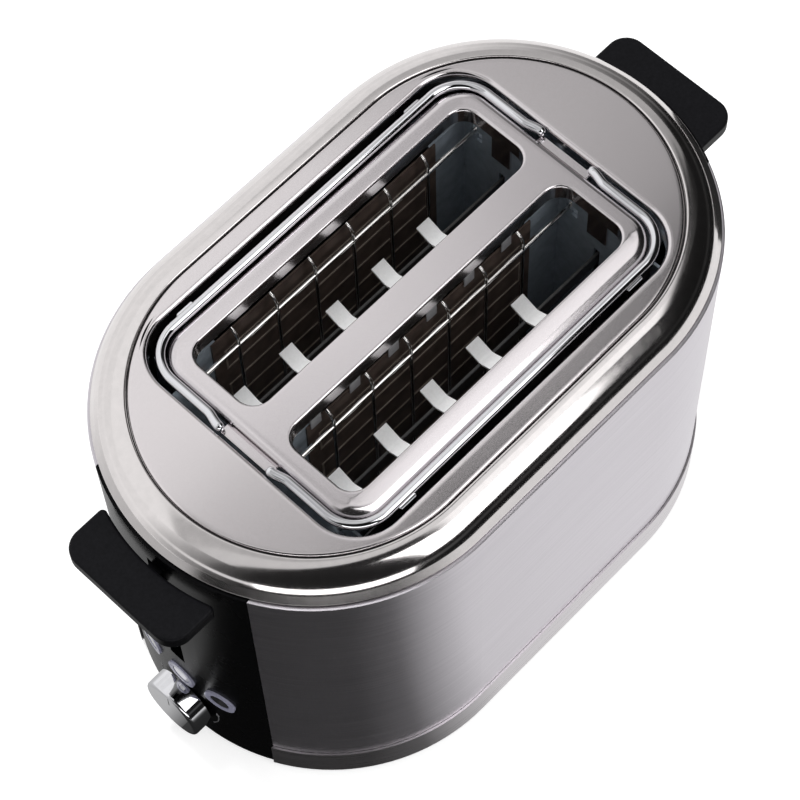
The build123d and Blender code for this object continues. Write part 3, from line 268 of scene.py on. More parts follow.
dress(terminal_plastic, "terminal_block")


# Mesh helpers

def new_piece(name, mesh, material, body):
    """Links a mesh as a piece of the toaster that rides on a body."""
    thing = bpy.data.objects.new(name, mesh)
    bpy.context.scene.collection.objects.link(thing)
    if not mesh.materials:
        mesh.materials.append(material)
    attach(thing, body)
    return thing


def smooth(mesh, angle=35):
    """Smooth shading with the real corners kept sharp."""
    mesh.polygons.foreach_set("use_smooth", [True] * len(mesh.polygons))
    mesh.set_sharp_from_angle(angle=radians(angle))


def arc(middle, radius, start, end, steps=8):
    """Points of an arc in a section, from one angle to another in degrees."""
    turns = [radians(start + (end - start) * count / steps) for count in range(steps + 1)]
    return [(middle[0] + radius * cos(turn), middle[1] + radius * sin(turn)) for turn in turns]


def rounded_rectangle(half_x, half_y, corner, middle_y=0.0, steps=20):
    """A plan that gives its outline at any offset outward."""
    def outline(offset):
        points = []
        for sign_x, sign_y, start in ((1, 1, 0), (-1, 1, 90), (-1, -1, 180), (1, -1, 270)):
            middle = (sign_x * (half_x - corner), middle_y + sign_y * (half_y - corner))
            points += arc(middle, corner + offset, start, start + 90, steps)
        return points
    return outline


def stadium(radius, steps=96):
    """The plan of the body: two half circles joined by straight sides."""
    def outline(offset):
        right = arc((END_CENTRE, 0), radius + offset, -90, 90, steps)
        return right + arc((-END_CENTRE, 0), radius + offset, 90, 270, steps)
    return outline


def mesh_of(form, name):
    """The mesh of a form, which is freed."""
    mesh = bpy.data.meshes.new(name)
    form.to_mesh(mesh)
    form.free()
    return mesh


def join_loops(form, loops, closed=True):
    """Faces from each loop of vertices to the next, and across both ends of a closed form."""
    for first, second in zip(loops, loops[1:]):
        for index in range(len(first)):
            after = (index + 1) % len(first)
            form.faces.new((first[index], first[after], second[after], second[index]))
    if closed:
        form.faces.new(loops[0])
        form.faces.new(loops[-1])


def pressed_sheet(rims):
    """A flat sheet whose rims follow sections: each rim is a plan and its (offset, height) points, from the
    sheet's top face round to its underside."""
    form = bmesh.new()
    tops, undersides = [], []
    for plan, section in rims:
        loops = [[form.verts.new((x, y, height)) for x, y in plan(offset)] for offset, height in section]
        join_loops(form, loops, closed=False)
        for group, loop in ((tops, loops[0]), (undersides, loops[-1])):
            group += [form.edges.get((a, b)) for a, b in zip(loop, loop[1:] + loop[:1])]
    for group, way in ((tops, 1), (undersides, -1)):
        bmesh.ops.triangle_fill(form, use_beauty=True, edges=group, normal=(0, 0, way))
    bmesh.ops.recalc_face_normals(form, faces=form.faces)
    return mesh_of(form, "sheet")


def add_block(form, low, high, edge=0.0002):
    """Adds a closed block with broken edges to a mesh."""
    made = bmesh.ops.create_cube(form, size=1.0)
    middle = (Vector(low) + Vector(high)) / 2
    size = Vector(high) - Vector(low)
    for vertex in made["verts"]:
        vertex.co = middle + Vector([vertex.co[axis] * size[axis] for axis in range(3)])
    edges = list({one for vertex in made["verts"] for one in vertex.link_edges})
    bmesh.ops.bevel(form, geom=edges, offset=edge, segments=2, affect="EDGES")


# Geometry node helpers

def new_tree(name, **sizes):
    """A geometry node tree with a geometry input and one named input for each size."""
    tree = bpy.data.node_groups.new(name, "GeometryNodeTree")
    tree.interface.new_socket("Geometry", in_out="INPUT", socket_type="NodeSocketGeometry")
    for label, kind in sizes.items():
        tree.interface.new_socket(label.replace("_", " "), in_out="INPUT", socket_type="NodeSocket" + kind)
    tree.interface.new_socket("Geometry", in_out="OUTPUT", socket_type="NodeSocketGeometry")
    return tree, tree.nodes.new("NodeGroupInput"), tree.nodes.new("NodeGroupOutput")


def close_tree(tree, result, output, material):
    """Ends a tree: instances made real, and the finish set."""
    real = step(tree, "GeometryNodeRealizeInstances", {"Geometry": result})
    dressed = step(tree, "GeometryNodeSetMaterial", {"Geometry": real.outputs[0]}, Material=material)
    tree.links.new(dressed.outputs[0], output.inputs[0])


def grown(name, seed, tree, material, body, slot, **sizes):
    """Runs a tree on a seed mesh and keeps the result as a plain piece."""
    thing = bpy.data.objects.new(name, seed)
    bpy.context.scene.collection.objects.link(thing)
    modifier = thing.modifiers.new("growth", "NODES")
    modifier.node_group = tree
    for item in tree.interface.items_tree:
        label = item.name.replace(" ", "_")
        if item.in_out == "INPUT" and label in sizes:
            modifier[item.identifier] = sizes[label]
    scene_state = bpy.context.evaluated_depsgraph_get()
    mesh = bpy.data.meshes.new_from_object(thing.evaluated_get(scene_state))
    bpy.data.objects.remove(thing)
    form = bmesh.new()
    form.from_mesh(mesh)
    bmesh.ops.remove_doubles(form, verts=form.verts, dist=0.000002)
    bmesh.ops.recalc_face_normals(form, faces=form.faces)
    form.to_mesh(mesh)
    form.free()
    smooth(mesh)
    return new_piece(name, mesh, material, body)


def section_mesh(points, closed=True):
    """A seed mesh: the outline of a section, drawn in its own plane."""
    mesh = bpy.data.meshes.new("section")
    count = len(points)
    edges = [(index, (index + 1) % count) for index in range(count if closed else count - 1)]
    mesh.from_pydata([(x, -y, 0) for x, y in points], edges, [])
    return mesh


def round_bar(tree, path, radius, sides):
    """Sweeps a capped round bar along a curve."""
    profile = step(tree, "GeometryNodeCurvePrimitiveCircle", {"Radius": radius}, Resolution=sides)
    bar = step(tree, "GeometryNodeCurveToMesh", {"Curve": path, "Profile Curve": profile.outputs[0]}, Fill_Caps=True)
    return bar.outputs[0]


def row_of(tree, piece, count, start, pitch):
    """Copies of a piece in a row along X."""
    spots = step(tree, "GeometryNodeMeshLine",
                 {"Count": count, "Start Location": start, "Offset": combined(tree, pitch)})
    copies = step(tree, "GeometryNodeInstanceOnPoints", {"Points": spots.outputs[0], "Instance": piece})
    return copies.outputs[0]


# Trim ring: its section follows the plan of the body

def body_sweep_tree(material):
    """Sweeps a section round the body's plan: a circle whose halves are moved apart."""
    tree, source, output = new_tree("body_sweep", Plan_Radius="Float", End_Centre="Float", Plan_Steps="Int")
    section = step(tree, "GeometryNodeMeshToCurve", {"Mesh": source.outputs["Geometry"]})
    circle = step(tree, "GeometryNodeCurvePrimitiveCircle",
                  {"Resolution": source.outputs["Plan Steps"], "Radius": source.outputs["Plan Radius"]})
    place = step(tree, "GeometryNodeInputPosition")
    parts = step(tree, "ShaderNodeSeparateXYZ", {"Vector": place.outputs[0]})
    steep = maths(tree, "MULTIPLY", parts.outputs["X"], 10000.0)
    side = step(tree, "ShaderNodeClamp", {"Value": steep}, Min=-1.0, Max=1.0)
    shift = maths(tree, "MULTIPLY", side.outputs[0], source.outputs["End Centre"])
    plan = step(tree, "GeometryNodeSetPosition", {"Geometry": circle.outputs[0], "Offset": combined(tree, shift)})
    swept = step(tree, "GeometryNodeCurveToMesh", {"Curve": plan.outputs[0], "Profile Curve": section.outputs[0]})
    close_tree(tree, swept.outputs[0], output, material)
    return tree


def ring_section():
    """Section of the trim ring, measured outward from the ridge: bead, dome, slope, skirt and ledge."""
    bead, dome, skirt_edge = 0.0006, 0.014344, 0.0004
    crown, hollow = 0.0026, 0.0143     # wall at the top of the dome, and the radius of its inside
    skirt = (0.0114, 0.0127)           # inside and outside of the skirt below the slope
    skirt_foot, ledge = 0.1653, -0.0034
    outer = arc((bead, DECK - bead), bead, 180, 90, 8)
    outer += arc((bead, DECK - dome), dome, 90, 34, 40)[1:]
    outer += [(0.01215, 0.1794), (0.01425, 0.17585)]
    outer += arc((0.01395, 0.1757), skirt_edge, 20, -90, 6)
    inner = [(skirt[1], 0.1753), (skirt[1], skirt_foot), (skirt[0], skirt_foot), (skirt[0], 0.1781)]
    inner += arc((0, DECK - crown - hollow), hollow, 38, 90, 12)[1:]
    inner += [(ledge, DECK - crown), (ledge, 0.1849), (0, 0.1849)]
    return outer + inner


sweep_tree = body_sweep_tree(ring_steel)
trim_ring = grown("polished_trim_ring", section_mesh(ring_section()), sweep_tree, ring_steel, "housing",
                  "polished_steel", Plan_Radius=RIDGE_RADIUS, End_Centre=END_CENTRE, Plan_Steps=256)
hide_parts("trim_ring")

# Black strip in the groove between ring and panel: painted shade that stands in for the groove's shadow
groove_shade_tree = body_sweep_tree(groove_shade_black)
groove_shade_section = [(-0.0006, 0.18495), (-0.0001, 0.18495), (-0.0001, 0.1852), (-0.00035, 0.1853), (-0.0006, 0.1852)]
grown("panel_seal", section_mesh(groove_shade_section), groove_shade_tree, groove_shade_black, "housing", "base_plastic",
      Plan_Radius=RIDGE_RADIUS, End_Centre=END_CENTRE, Plan_Steps=192)

# Top panel: pressed sheet with a rolled opening
PANEL_SHEET = 0.0013
PANEL_ROLL, PANEL_REACH = 0.0011, 0.0022     # outer edge
MOUTH_ROLL, MOUTH_REACH = 0.0018, 0.0028     # opening
COLLAR, COLLAR_SHEET = 0.008, 0.001          # upright wall round the opening
panel_under = DECK - PANEL_SHEET
panel_rim = [(-PANEL_REACH, DECK), (-PANEL_ROLL, DECK)]
panel_rim += arc((-PANEL_ROLL, DECK - PANEL_ROLL), PANEL_ROLL, 90, 0, 10)[1:]
panel_rim += [(0, panel_under), (-PANEL_REACH, panel_under)]
mouth_rim = [(MOUTH_REACH, DECK), (MOUTH_ROLL, DECK)]
mouth_rim += arc((MOUTH_ROLL, DECK - MOUTH_ROLL), MOUTH_ROLL, 90, 180, 12)[1:]
mouth_rim += [(0, DECK - COLLAR), (COLLAR_SHEET, DECK - COLLAR), (COLLAR_SHEET, panel_under),
              (MOUTH_REACH, panel_under)]
panel_mesh = pressed_sheet([
    (stadium(PANEL_RADIUS), panel_rim),
    (rounded_rectangle(MOUTH_HALF_X, MOUTH_HALF_Y, MOUTH_CORNER, MOUTH_SHIFT), mouth_rim),
])
smooth(panel_mesh)
top_panel = new_piece("satin_top_panel", panel_mesh, panel_steel, "housing")
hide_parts("top_panel")

# Slot plate: raised centre with a rolled shoulder, and slot rims rolled into their collars
SHOULDER, SHOULDER_REACH = 0.0045, 0.0052
RIM_ROLL, RIM_REACH, RIM_ROWS = 0.0011, 0.0028, 4
STRIP_FALL = 0.0021         # how far the long strips of the plate fall to their edges
STRIP_START = SLOT_OFFSET + SLOT_HALF_Y + 0.0006
STRIP_CURVE = 0.35          # share of the fall that grows with the square of the way
plate_under = PLATE_TOP - PLATE_SHEET
shoulder_middle = (-SHOULDER, PLATE_TOP - SHOULDER)
shoulder = [(-SHOULDER_REACH, PLATE_TOP), (-SHOULDER, PLATE_TOP)]
shoulder += arc(shoulder_middle, SHOULDER, 90, 0, 16)[1:]
shoulder += [(0, PLATE_FOOT), (-PLATE_SHEET, PLATE_FOOT), (-PLATE_SHEET, PLATE_TOP - SHOULDER)]
shoulder += arc(shoulder_middle, SHOULDER - PLATE_SHEET, 0, 90, 8)[1:] + [(-SHOULDER_REACH, plate_under)]
slot_rim = [(RIM_REACH - 0.0004 * row, PLATE_TOP) for row in range(RIM_ROWS)]
slot_rim += arc((RIM_ROLL, PLATE_TOP - RIM_ROLL), RIM_ROLL, 90, 180, 10)
slot_rim += [(0, PLATE_TOP - COLLAR), (PLATE_SHEET, PLATE_TOP - COLLAR), (PLATE_SHEET, plate_under),
             (RIM_REACH, plate_under)]
plate_mesh = pressed_sheet([
    (rounded_rectangle(PLATE_HALF_X, PLATE_HALF_Y, PLATE_CORNER), shoulder),
    (rounded_rectangle(SLOT_HALF_X, SLOT_HALF_Y, SLOT_CORNER, -SLOT_OFFSET), slot_rim),
    (rounded_rectangle(SLOT_HALF_X, SLOT_HALF_Y, SLOT_CORNER, SLOT_OFFSET), slot_rim),
])
plate_form = bmesh.new()
plate_form.from_mesh(plate_mesh)
for vertex in plate_form.verts:
    reach = min(1, max(0, (abs(vertex.co.y) - STRIP_START) / (PLATE_HALF_Y - STRIP_START)))
    raised = min(1, max(0, (vertex.co.z - PLATE_FOOT) / (PLATE_TOP - PLATE_FOOT)))
    vertex.co.z -= STRIP_FALL * ((1 - STRIP_CURVE) * reach + STRIP_CURVE * reach ** 2) * raised

# Its two end tongues in the channel, and the tabs below that hold it on the frame plates
TONGUE_END, TONGUE_HALF = 0.0883, 0.013
TAB_START, TAB_HALF, TAB_FOOT = 0.0782, 0.005, 0.16
for end in (-1, 1):
    tongue = sorted((end * (PLATE_HALF_X - PLATE_SHEET), end * TONGUE_END))
    add_block(plate_form, (tongue[0], -TONGUE_HALF, PLATE_FOOT),
              (tongue[1], TONGUE_HALF, PLATE_FOOT + PLATE_SHEET), 0.0003)
    for middle in (-SLOT_OFFSET, SLOT_OFFSET):
        tab = sorted((end * TAB_START, end * (TAB_START + PLATE_SHEET)))
        add_block(plate_form, (tab[0], middle - TAB_HALF, TAB_FOOT), (tab[1], middle + TAB_HALF, plate_under))
plate_form.to_mesh(plate_mesh)
plate_form.free()
smooth(plate_mesh)
slot_plate = new_piece("satin_slot_plate", plate_mesh, plate_steel, "housing")
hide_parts("slot_plate")


# Bread guides: hooked wires welded on two rails

def guide_tree(material):
    """One hooked wire, repeated along two rails."""
    tree, source, output = new_tree("bread_guide", Guide_Y="Float", Lean="Float", Posts="Int", Pitch="Float",
                                    Wire_Radius="Float", Rail_Radius="Float", Half_Length="Float")
    sizes = source.outputs
    path = step(tree, "GeometryNodeMeshToCurve", {"Mesh": sizes["Geometry"]})
    leaning = step(tree, "GeometryNodeTransform",
                   {"Geometry": path.outputs[0], "Scale": combined(tree, 1.0, sizes["Lean"], 1.0)})
    wire = round_bar(tree, leaning.outputs[0], sizes["Wire Radius"], 12)
    row_length = maths(tree, "MULTIPLY", maths(tree, "SUBTRACT", sizes["Posts"], 1.0), sizes["Pitch"])
    start = combined(tree, maths(tree, "MULTIPLY", row_length, -0.5), sizes["Guide Y"])
    wires = row_of(tree, wire, sizes["Posts"], start, sizes["Pitch"])
    joined = step(tree, "GeometryNodeJoinGeometry", {"Geometry": wires})
    back = maths(tree, "MULTIPLY", sizes["Half Length"], -1.0)
    for height in GUIDE_RAILS:
        left = combined(tree, back, sizes["Guide Y"], height)
        right = combined(tree, sizes["Half Length"], sizes["Guide Y"], height)
        line = step(tree, "GeometryNodeCurvePrimitiveLine", {"Start": left, "End": right})
        tree.links.new(round_bar(tree, line.outputs[0], sizes["Rail Radius"], 16), joined.inputs[0])
    close_tree(tree, joined.outputs[0], output, material)
    return tree


def wire_path():
    """Seed of a guide wire: upright between the rails, then a smooth hook outward."""
    hook = [(0, 0), (0.00005, 0.0012), (0.00025, 0.0024), (0.0007, 0.0037), (0.0014, 0.0049), (0.0024, 0.0059),
            (0.0035, 0.0065)]
    points = [(0, 0, height) for height in GUIDE_RAILS] + [(0, out, HOOK_START + up) for out, up in hook]
    mesh = bpy.data.meshes.new("wire_path")
    mesh.from_pydata(points, [(index, index + 1) for index in range(len(points) - 1)], [])
    return mesh


guides = guide_tree(wire_steel)
for name, middle in GUIDES.items():
    lean = -1.0 if name in ("front_outer", "rear_inner") else 1.0
    guide = grown(name + "_wires", wire_path(), guides, wire_steel, "guide_" + name, "guide_wire", Guide_Y=middle,
                  Lean=lean, Posts=6, Pitch=WIRE_PITCH, Wire_Radius=0.0008, Rail_Radius=0.001, Half_Length=0.082)
    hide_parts(name + "_guide")


# Clips and eyelets on the heater boards

def row_tree(name, material):
    """Repeats a small piece in a row along X."""
    tree, source, output = new_tree(name, First_X="Float", Row_Y="Float", Row_Z="Float", Pitch="Float", Count="Int")
    sizes = source.outputs
    first = combined(tree, sizes["First X"], sizes["Row Y"], sizes["Row Z"])
    row = row_of(tree, sizes["Geometry"], sizes["Count"], first, sizes["Pitch"])
    close_tree(tree, row, output, material)
    return tree


def clip_mesh():
    """A small clip, 6 mm wide: a thin block with broken edges."""
    half = (0.0028, 0.0003, 0.0035)
    form = bmesh.new()
    add_block(form, [-size for size in half], half, 0.00015)
    return mesh_of(form, "clip")


def eyelet_mesh(way):
    """A domed eyelet, 3 mm across, that faces the slot."""
    form = bmesh.new()
    profile = ((0.0015, 0), (0.0015, 0.0002), (0.0011, 0.0006), (0.0005, 0.0006), (0.0004, 0.0003))
    join_loops(form, [[form.verts.new((radius * cos(turn * pi / 8), way * depth, radius * sin(turn * pi / 8)))
                       for turn in range(16)] for radius, depth in profile])
    bmesh.ops.recalc_face_normals(form, faces=form.faces)
    return mesh_of(form, "eyelet")


clips = row_tree("clip_row", clip_steel)
eyelets = row_tree("eyelet_row", copper)
for name, face in BOARD_FACES.items():
    way = 1 if name in ("front_outer", "rear_inner") else -1
    if "inner" in name:
        grown(name + "_clips", clip_mesh(), clips, clip_steel, "housing", "frame_steel",
              First_X=-0.0575, Row_Y=face + way * 0.00035, Row_Z=0.1722, Pitch=WIRE_PITCH, Count=6)
    grown(name + "_eyelets", eyelet_mesh(way), eyelets, copper, "housing", "coil_wire",
          First_X=-0.066, Row_Y=face + way * 0.0002, Row_Z=0.1555, Pitch=2 * WIRE_PITCH, Count=4)


# Bread lifters: an upright bar under each slot, and bent tabs along its top

def tab_mesh():
    """A bent tab, 7 mm wide, that cradles the bread."""
    half_width, thickness = 0.0035, 0.0012
    bend = [(0.0078, 0.0035), (0.0012, 0.00055), (0.0005, 0.0003)]
    top = [(-y, z) for y, z in bend] + bend[::-1]
    outline = top + [(y, z - thickness) for y, z in reversed(top)]
    form = bmesh.new()
    join_loops(form, [[form.verts.new((x, y, z)) for y, z in outline] for x in (-half_width, half_width)])
    bmesh.ops.recalc_face_normals(form, faces=form.faces)
    return mesh_of(form, "tab")


BAR_START, BAR_END, BAR_HALF, BAR_DEPTH = -0.094, 0.082, 0.0006, 0.008
tabs = row_tree("tab_row", tab_steel)
for name, middle in (("front", -SLOT_OFFSET), ("rear", SLOT_OFFSET)):
    bar_form = bmesh.new()
    add_block(bar_form, (BAR_START, middle - BAR_HALF, LIFTER_TOP - BAR_DEPTH),
              (BAR_END, middle + BAR_HALF, LIFTER_TOP), 0.0002)
    bar = new_piece(name + "_lifter_bar", mesh_of(bar_form, name + "_lifter_bar"), bar_steel, "toast_carriage")
    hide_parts(name + "_lifter")
    grown(name + "_lifter_tabs", tab_mesh(), tabs, tab_steel, "toast_carriage", "lifter_steel",
          First_X=-0.062, Row_Y=middle, Row_Z=LIFTER_TOP, Pitch=0.0258, Count=5)


# Rods of the warming rack, each on two legs

def rod_path(side):
    """Middle line of a rod: along the slot plate, round its corners, then outward at the tips."""
    corner_middle = (ROD_HALF_X - ROD_CORNER, ROD_HALF_Y - ROD_CORNER)
    straight_end, tip_start, tip_length, tip_turn, tip_steps = 0.03, 0.0215, 0.008, 0.0015, 16
    tip = []
    for count in range(1, tip_steps + 1):
        share = count / tip_steps
        bend = share * share * (3 - 2 * share)
        tip.append((ROD_HALF_X + tip_turn * bend, tip_start - tip_length * share))
    far = arc(corner_middle, ROD_CORNER, 90, 0, 20) + [(ROD_HALF_X, straight_end)] + tip
    near = [(-x, y) for x, y in reversed(far)]
    return [(x, side * y) for x, y in near + far]


def round_rod(path, radius=0.002, sides=20):
    """Sweeps a round bar along a level path, with domed ends."""
    form = bmesh.new()
    points = [Vector((x, y, ROD_HEIGHT)) for x, y in path]
    upright = Vector((0, 0, 1))
    rings = []

    def ring(place, along, size):
        flat = Vector((-along.y, along.x, 0)).normalized()
        turns = [2 * pi * count / sides for count in range(sides)]
        rings.append([form.verts.new(place + size * (cos(turn) * flat + sin(turn) * upright)) for turn in turns])

    dome = [pi / 2 * (count + 0.5) / 6 for count in range(6)]
    ahead = (points[1] - points[0]).normalized()
    for turn in dome:
        ring(points[0] - ahead * radius * cos(turn), ahead, radius * sin(turn))
    for index, place in enumerate(points):
        before, after = points[max(index - 1, 0)], points[min(index + 1, len(points) - 1)]
        ring(place, (after - before).normalized(), radius)
    last = (points[-1] - points[-2]).normalized()
    for turn in reversed(dome):
        ring(points[-1] + last * radius * cos(turn), last, radius * sin(turn))
    join_loops(form, rings)
    bmesh.ops.recalc_face_normals(form, faces=form.faces)
    return form


LEG_PLACES, LEG_HALF, LEG_FOOT = (-0.062, 0.062), 0.004, 0.116
LEG_INSIDE, LEG_OUTSIDE = 0.0575, 0.059
for name, side in (("front", -1), ("rear", 1)):
    rod_form = round_rod(rod_path(side))
    faces = sorted((side * LEG_INSIDE, side * LEG_OUTSIDE))
    for leg_x in LEG_PLACES:
        add_block(rod_form, (leg_x - LEG_HALF, faces[0], LEG_FOOT), (leg_x + LEG_HALF, faces[1], ROD_HEIGHT), 0.0003)
    rod_mesh = mesh_of(rod_form, name + "_rod")
    smooth(rod_mesh, 40)
    rod = new_piece(name + "_chrome_rod", rod_mesh, chrome, "rack_lift")
    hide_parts(name + "_rack_rod")


# Generic marks round the knob: an arc on each side that ends in an arrow

def dial_mark(form, side):
    """One arc of the dial on the rounded cap, with its arrow."""
    radius, half_line = 0.0168, 0.00022
    low, high = 0.00001, 0.00007       # under and upper side of the paint, above the cap
    first_turn, sweep, steps = -38, 54, 18

    def on_cap(distance, turn, lift):
        y = side * distance * cos(turn)
        return (-END_CENTRE - sqrt((BODY_RADIUS + lift) ** 2 - y * y), y, KNOB_HEIGHT + distance * sin(turn))

    arrow = [4, 3, 1.5, 0.2]           # half widths of the arrow head, in those of the line
    widths = [half_line * share for share in [1] * (steps + 1 - len(arrow)) + arrow]
    turns = [radians(first_turn + sweep * count / steps) for count in range(steps + 1)]
    join_loops(form, [[form.verts.new(on_cap(radius + reach, turn, lift)) for reach, lift in
                       ((-width, low), (-width, high), (width, high), (width, low))]
                      for width, turn in zip(widths, turns)])


marks_form = bmesh.new()
for side in (-1, 1):
    dial_mark(marks_form, side)
bmesh.ops.recalc_face_normals(marks_form, faces=marks_form.faces)
new_piece("dial_marks", mesh_of(marks_form, "dial_marks"), mark_paint, "housing")


# Studio helpers

def glow(tree, colour, strength=1.0):
    """An emission shader joined to the output."""
    shader = step(tree, "ShaderNodeEmission", {"Color": colour}, Strength=strength)
    step(tree, "ShaderNodeOutputMaterial", {"Surface": shader.outputs[0]})


def place_parts(tree):
    """The X, Y and Z of the object coordinates."""
    place = tree.nodes.new("ShaderNodeTexCoord")
    return step(tree, "ShaderNodeSeparateXYZ", {0: place.outputs["Object"]}).outputs


def around(tree, middle):
    """Direction and height seen from a middle point: a turn from 0 at -X through 0.25 at -Y, and an elevation."""
    coordinates = tree.nodes.new("ShaderNodeTexCoord")
    shift = step(tree, "ShaderNodeVectorMath", {0: coordinates.outputs["Object"]}, operation="SUBTRACT")
    shift.inputs[1].default_value = middle
    unit = step(tree, "ShaderNodeVectorMath", {0: shift.outputs[0]}, operation="NORMALIZE")
    parts = step(tree, "ShaderNodeSeparateXYZ", {0: unit.outputs[0]})
    angle = maths(tree, "ARCTAN2", parts.outputs["Y"], parts.outputs["X"])
    return maths(tree, "MULTIPLY_ADD", angle, 1 / (2 * pi), 0.5), parts.outputs["Z"]


def ramp(tree, value, stops, low=-180, high=180):
    """A colour ramp from (place, grey) stops, where the value runs from 0 at the low place to 1 at the high one."""
    node = tree.nodes.new("ShaderNodeValToRGB")
    points = node.color_ramp.elements
    while len(points) > 1:
        points.remove(points[-1])
    for index, (spot, grey) in enumerate(stops):
        place = (spot - low) / (high - low)
        point = points[0] if index == 0 else points.new(place)
        point.position = place
        point.color = (grey, grey, grey, 1)
    tree.links.new(value, node.inputs[0])
    return node.outputs[0]


def band(tree, value, low, high, soft=0.03):
    """One inside a band of values, falling to nought at its soft edges."""
    rise = map_range(tree, value, low - soft, low + soft, kind="SMOOTHSTEP")
    fall = map_range(tree, value, high + soft, high - soft, kind="SMOOTHSTEP")
    return maths(tree, "MULTIPLY", rise, fall)


def mix_colours(tree, factor, first, second):
    """A colour between two others."""
    node = step(tree, "ShaderNodeMix", {"Factor": factor}, data_type="RGBA")
    tree.links.new(first, node.inputs["A"])
    tree.links.new(second, node.inputs["B"])
    return node.outputs["Result"]


def only_in_reflections(thing):
    """Keeps a studio screen out of every view but the reflections."""
    thing.visible_camera = False
    thing.visible_diffuse = False
    thing.visible_transmission = False
    thing.visible_volume_scatter = False
    thing.visible_shadow = False


def stage_mesh(name, form, material):
    """Links a studio mesh."""
    mesh = mesh_of(form, name)
    mesh.materials.append(material)
    thing = bpy.data.objects.new(name, mesh)
    bpy.context.scene.collection.objects.link(thing)
    return thing


def card(name, corners, material):
    """A flat screen that only reflections show."""
    form = bmesh.new()
    form.faces.new([form.verts.new(corner) for corner in corners])
    only_in_reflections(stage_mesh(name, form, material))


def level_card(name, across, deep, material):
    """A rectangular card above the set, by its ranges in X and Y."""
    corners = ((across[0], deep[0]), (across[0], deep[1]), (across[1], deep[1]), (across[1], deep[0]))
    card(name, [(x, y, SCREEN_HEIGHT) for x, y in corners], material)


def bright_background(tree):
    """One for the camera, reflections and refractions, nought for the rest."""
    path = tree.nodes.new("ShaderNodeLightPath")
    seen = maths(tree, "MAXIMUM", path.outputs["Is Camera Ray"], path.outputs["Is Glossy Ray"])
    return maths(tree, "MAXIMUM", seen, path.outputs["Is Transmission Ray"])


def soft_box(name, place, target, width, height, radiance):
    """A rectangular lamp that faces a target, by how bright its face looks."""
    light = bpy.data.lights.new(name, "AREA")
    light.shape = "RECTANGLE"
    light.size = width
    light.size_y = height
    light.energy = radiance * pi * width * height
    thing = bpy.data.objects.new(name, light)
    thing.location = place
    thing.rotation_euler = (Vector(target) - Vector(place)).to_track_quat("-Z", "Y").to_euler()
    bpy.context.scene.collection.objects.link(thing)
    return thing


def towards(azimuth, elevation, distance):
    """A point seen from the middle of the toaster's top in a direction."""
    flat = distance * cos(radians(elevation))
    return (flat * cos(radians(azimuth)), flat * sin(radians(azimuth)),
            AIM_HEIGHT + distance * sin(radians(elevation)))


# Studio: world and pale floor

AIM_HEIGHT = 0.18           # of the point that the lamps and the screens go by
SCREEN_HEIGHT = 1.5
WORLD_LIGHT = 0.45          # strength of the world on the object, where the background is 1
FLOOR_GREY, FLOOR_GLOW = (0.6, 0.6, 0.6, 1), 0.66
world = bpy.data.worlds.new("studio")
world.use_nodes = True
bpy.context.scene.world = world
sky = world.node_tree
sky.nodes.clear()
strength = maths(sky, "MULTIPLY_ADD", bright_background(sky), 1 - WORLD_LIGHT, WORLD_LIGHT)
backdrop = step(sky, "ShaderNodeBackground", {"Strength": strength}, Color=(1, 1, 1, 1))
step(sky, "ShaderNodeOutputWorld", {"Surface": backdrop.outputs[0]})

floor_form = bmesh.new()
bmesh.ops.create_grid(floor_form, x_segments=1, y_segments=1, size=6.0)
floor_material, floor_tree = new_material("pale_floor")
floor_shader = surface(floor_tree, Roughness=0.9, Specular_IOR_Level=0.0, Base_Color=FLOOR_GREY,
                       Emission_Color=(1, 1, 1, 1))
floor_glow = maths(floor_tree, "MULTIPLY", bright_background(floor_tree), FLOOR_GLOW)
floor_tree.links.new(floor_glow, floor_shader.inputs["Emission Strength"])
stage_mesh("studio_floor", floor_form, floor_material)

# Screens round the set, dark on one side and bright on the other, as the steel mirrors them: grey by direction
UPPER_WALL = [(-180, 0.12), (-165, 0.02), (-60, 0.008), (12, 0.012), (26, 0.2), (50, 0.9), (150, 0.95),
              (168, 0.45), (180, 0.2)]
LOWER_WALL = [(-180, 0.9), (-150, 0.9), (-140, 0.3), (-100, 0.1), (-60, 0.02), (8, 0.03), (24, 0.3), (50, 0.95),
              (150, 1), (165, 0.8), (180, 0.9)]
screen_material, screen_tree = new_material("studio_screens")
turn, rise = around(screen_tree, (0, 0, AIM_HEIGHT))
upper, lower = ramp(screen_tree, turn, UPPER_WALL), ramp(screen_tree, turn, LOWER_WALL)
glow(screen_tree, mix_colours(screen_tree, band(screen_tree, rise, 0.2, 0.32), upper, lower))
screen_form = bmesh.new()
bmesh.ops.create_uvsphere(screen_form, u_segments=64, v_segments=32, radius=2.6)
only_in_reflections(stage_mesh("studio_screens", screen_form, screen_material))

# Overhead screen in four lengthwise parts, as the panel and the slot plate mirror it: grey by X, and where each
# part fades in along Y
OVERHEAD_X, OVERHEAD_Y = (-1.2, 1.8), (-0.06, 1.6)
FRONT_EDGE = [(-1.2, 0.7), (0.2, 0.7), (0.4, 1), (0.72, 1), (0.8, 0.06), (1.4, 0.02)]
OVERHEAD_PARTS = [
    ((0.25, 0.27), [(-1.2, 0.6), (0.24, 0.5), (0.34, 0.02), (0.46, 0.05), (0.58, 0.1), (0.7, 0.02), (0.85, 0),
                    (1.4, 0.3)]),
    ((0.375, 0.398), [(-1.2, 0.5), (0.28, 0.52), (0.4, 0.86), (0.55, 0.8), (0.68, 0.48), (1.4, 0.4)]),
    ((0.49, 0.53), [(-1.2, 1), (0.25, 1), (0.52, 0.97), (0.68, 0.62), (0.8, 0.52), (1.4, 0.5)]),
]
overhead_material, overhead_tree = new_material("overhead_screen")
overhead_place = place_parts(overhead_tree)
overhead_x = map_range(overhead_tree, overhead_place["X"], *OVERHEAD_X)
shade = ramp(overhead_tree, overhead_x, FRONT_EDGE, *OVERHEAD_X)
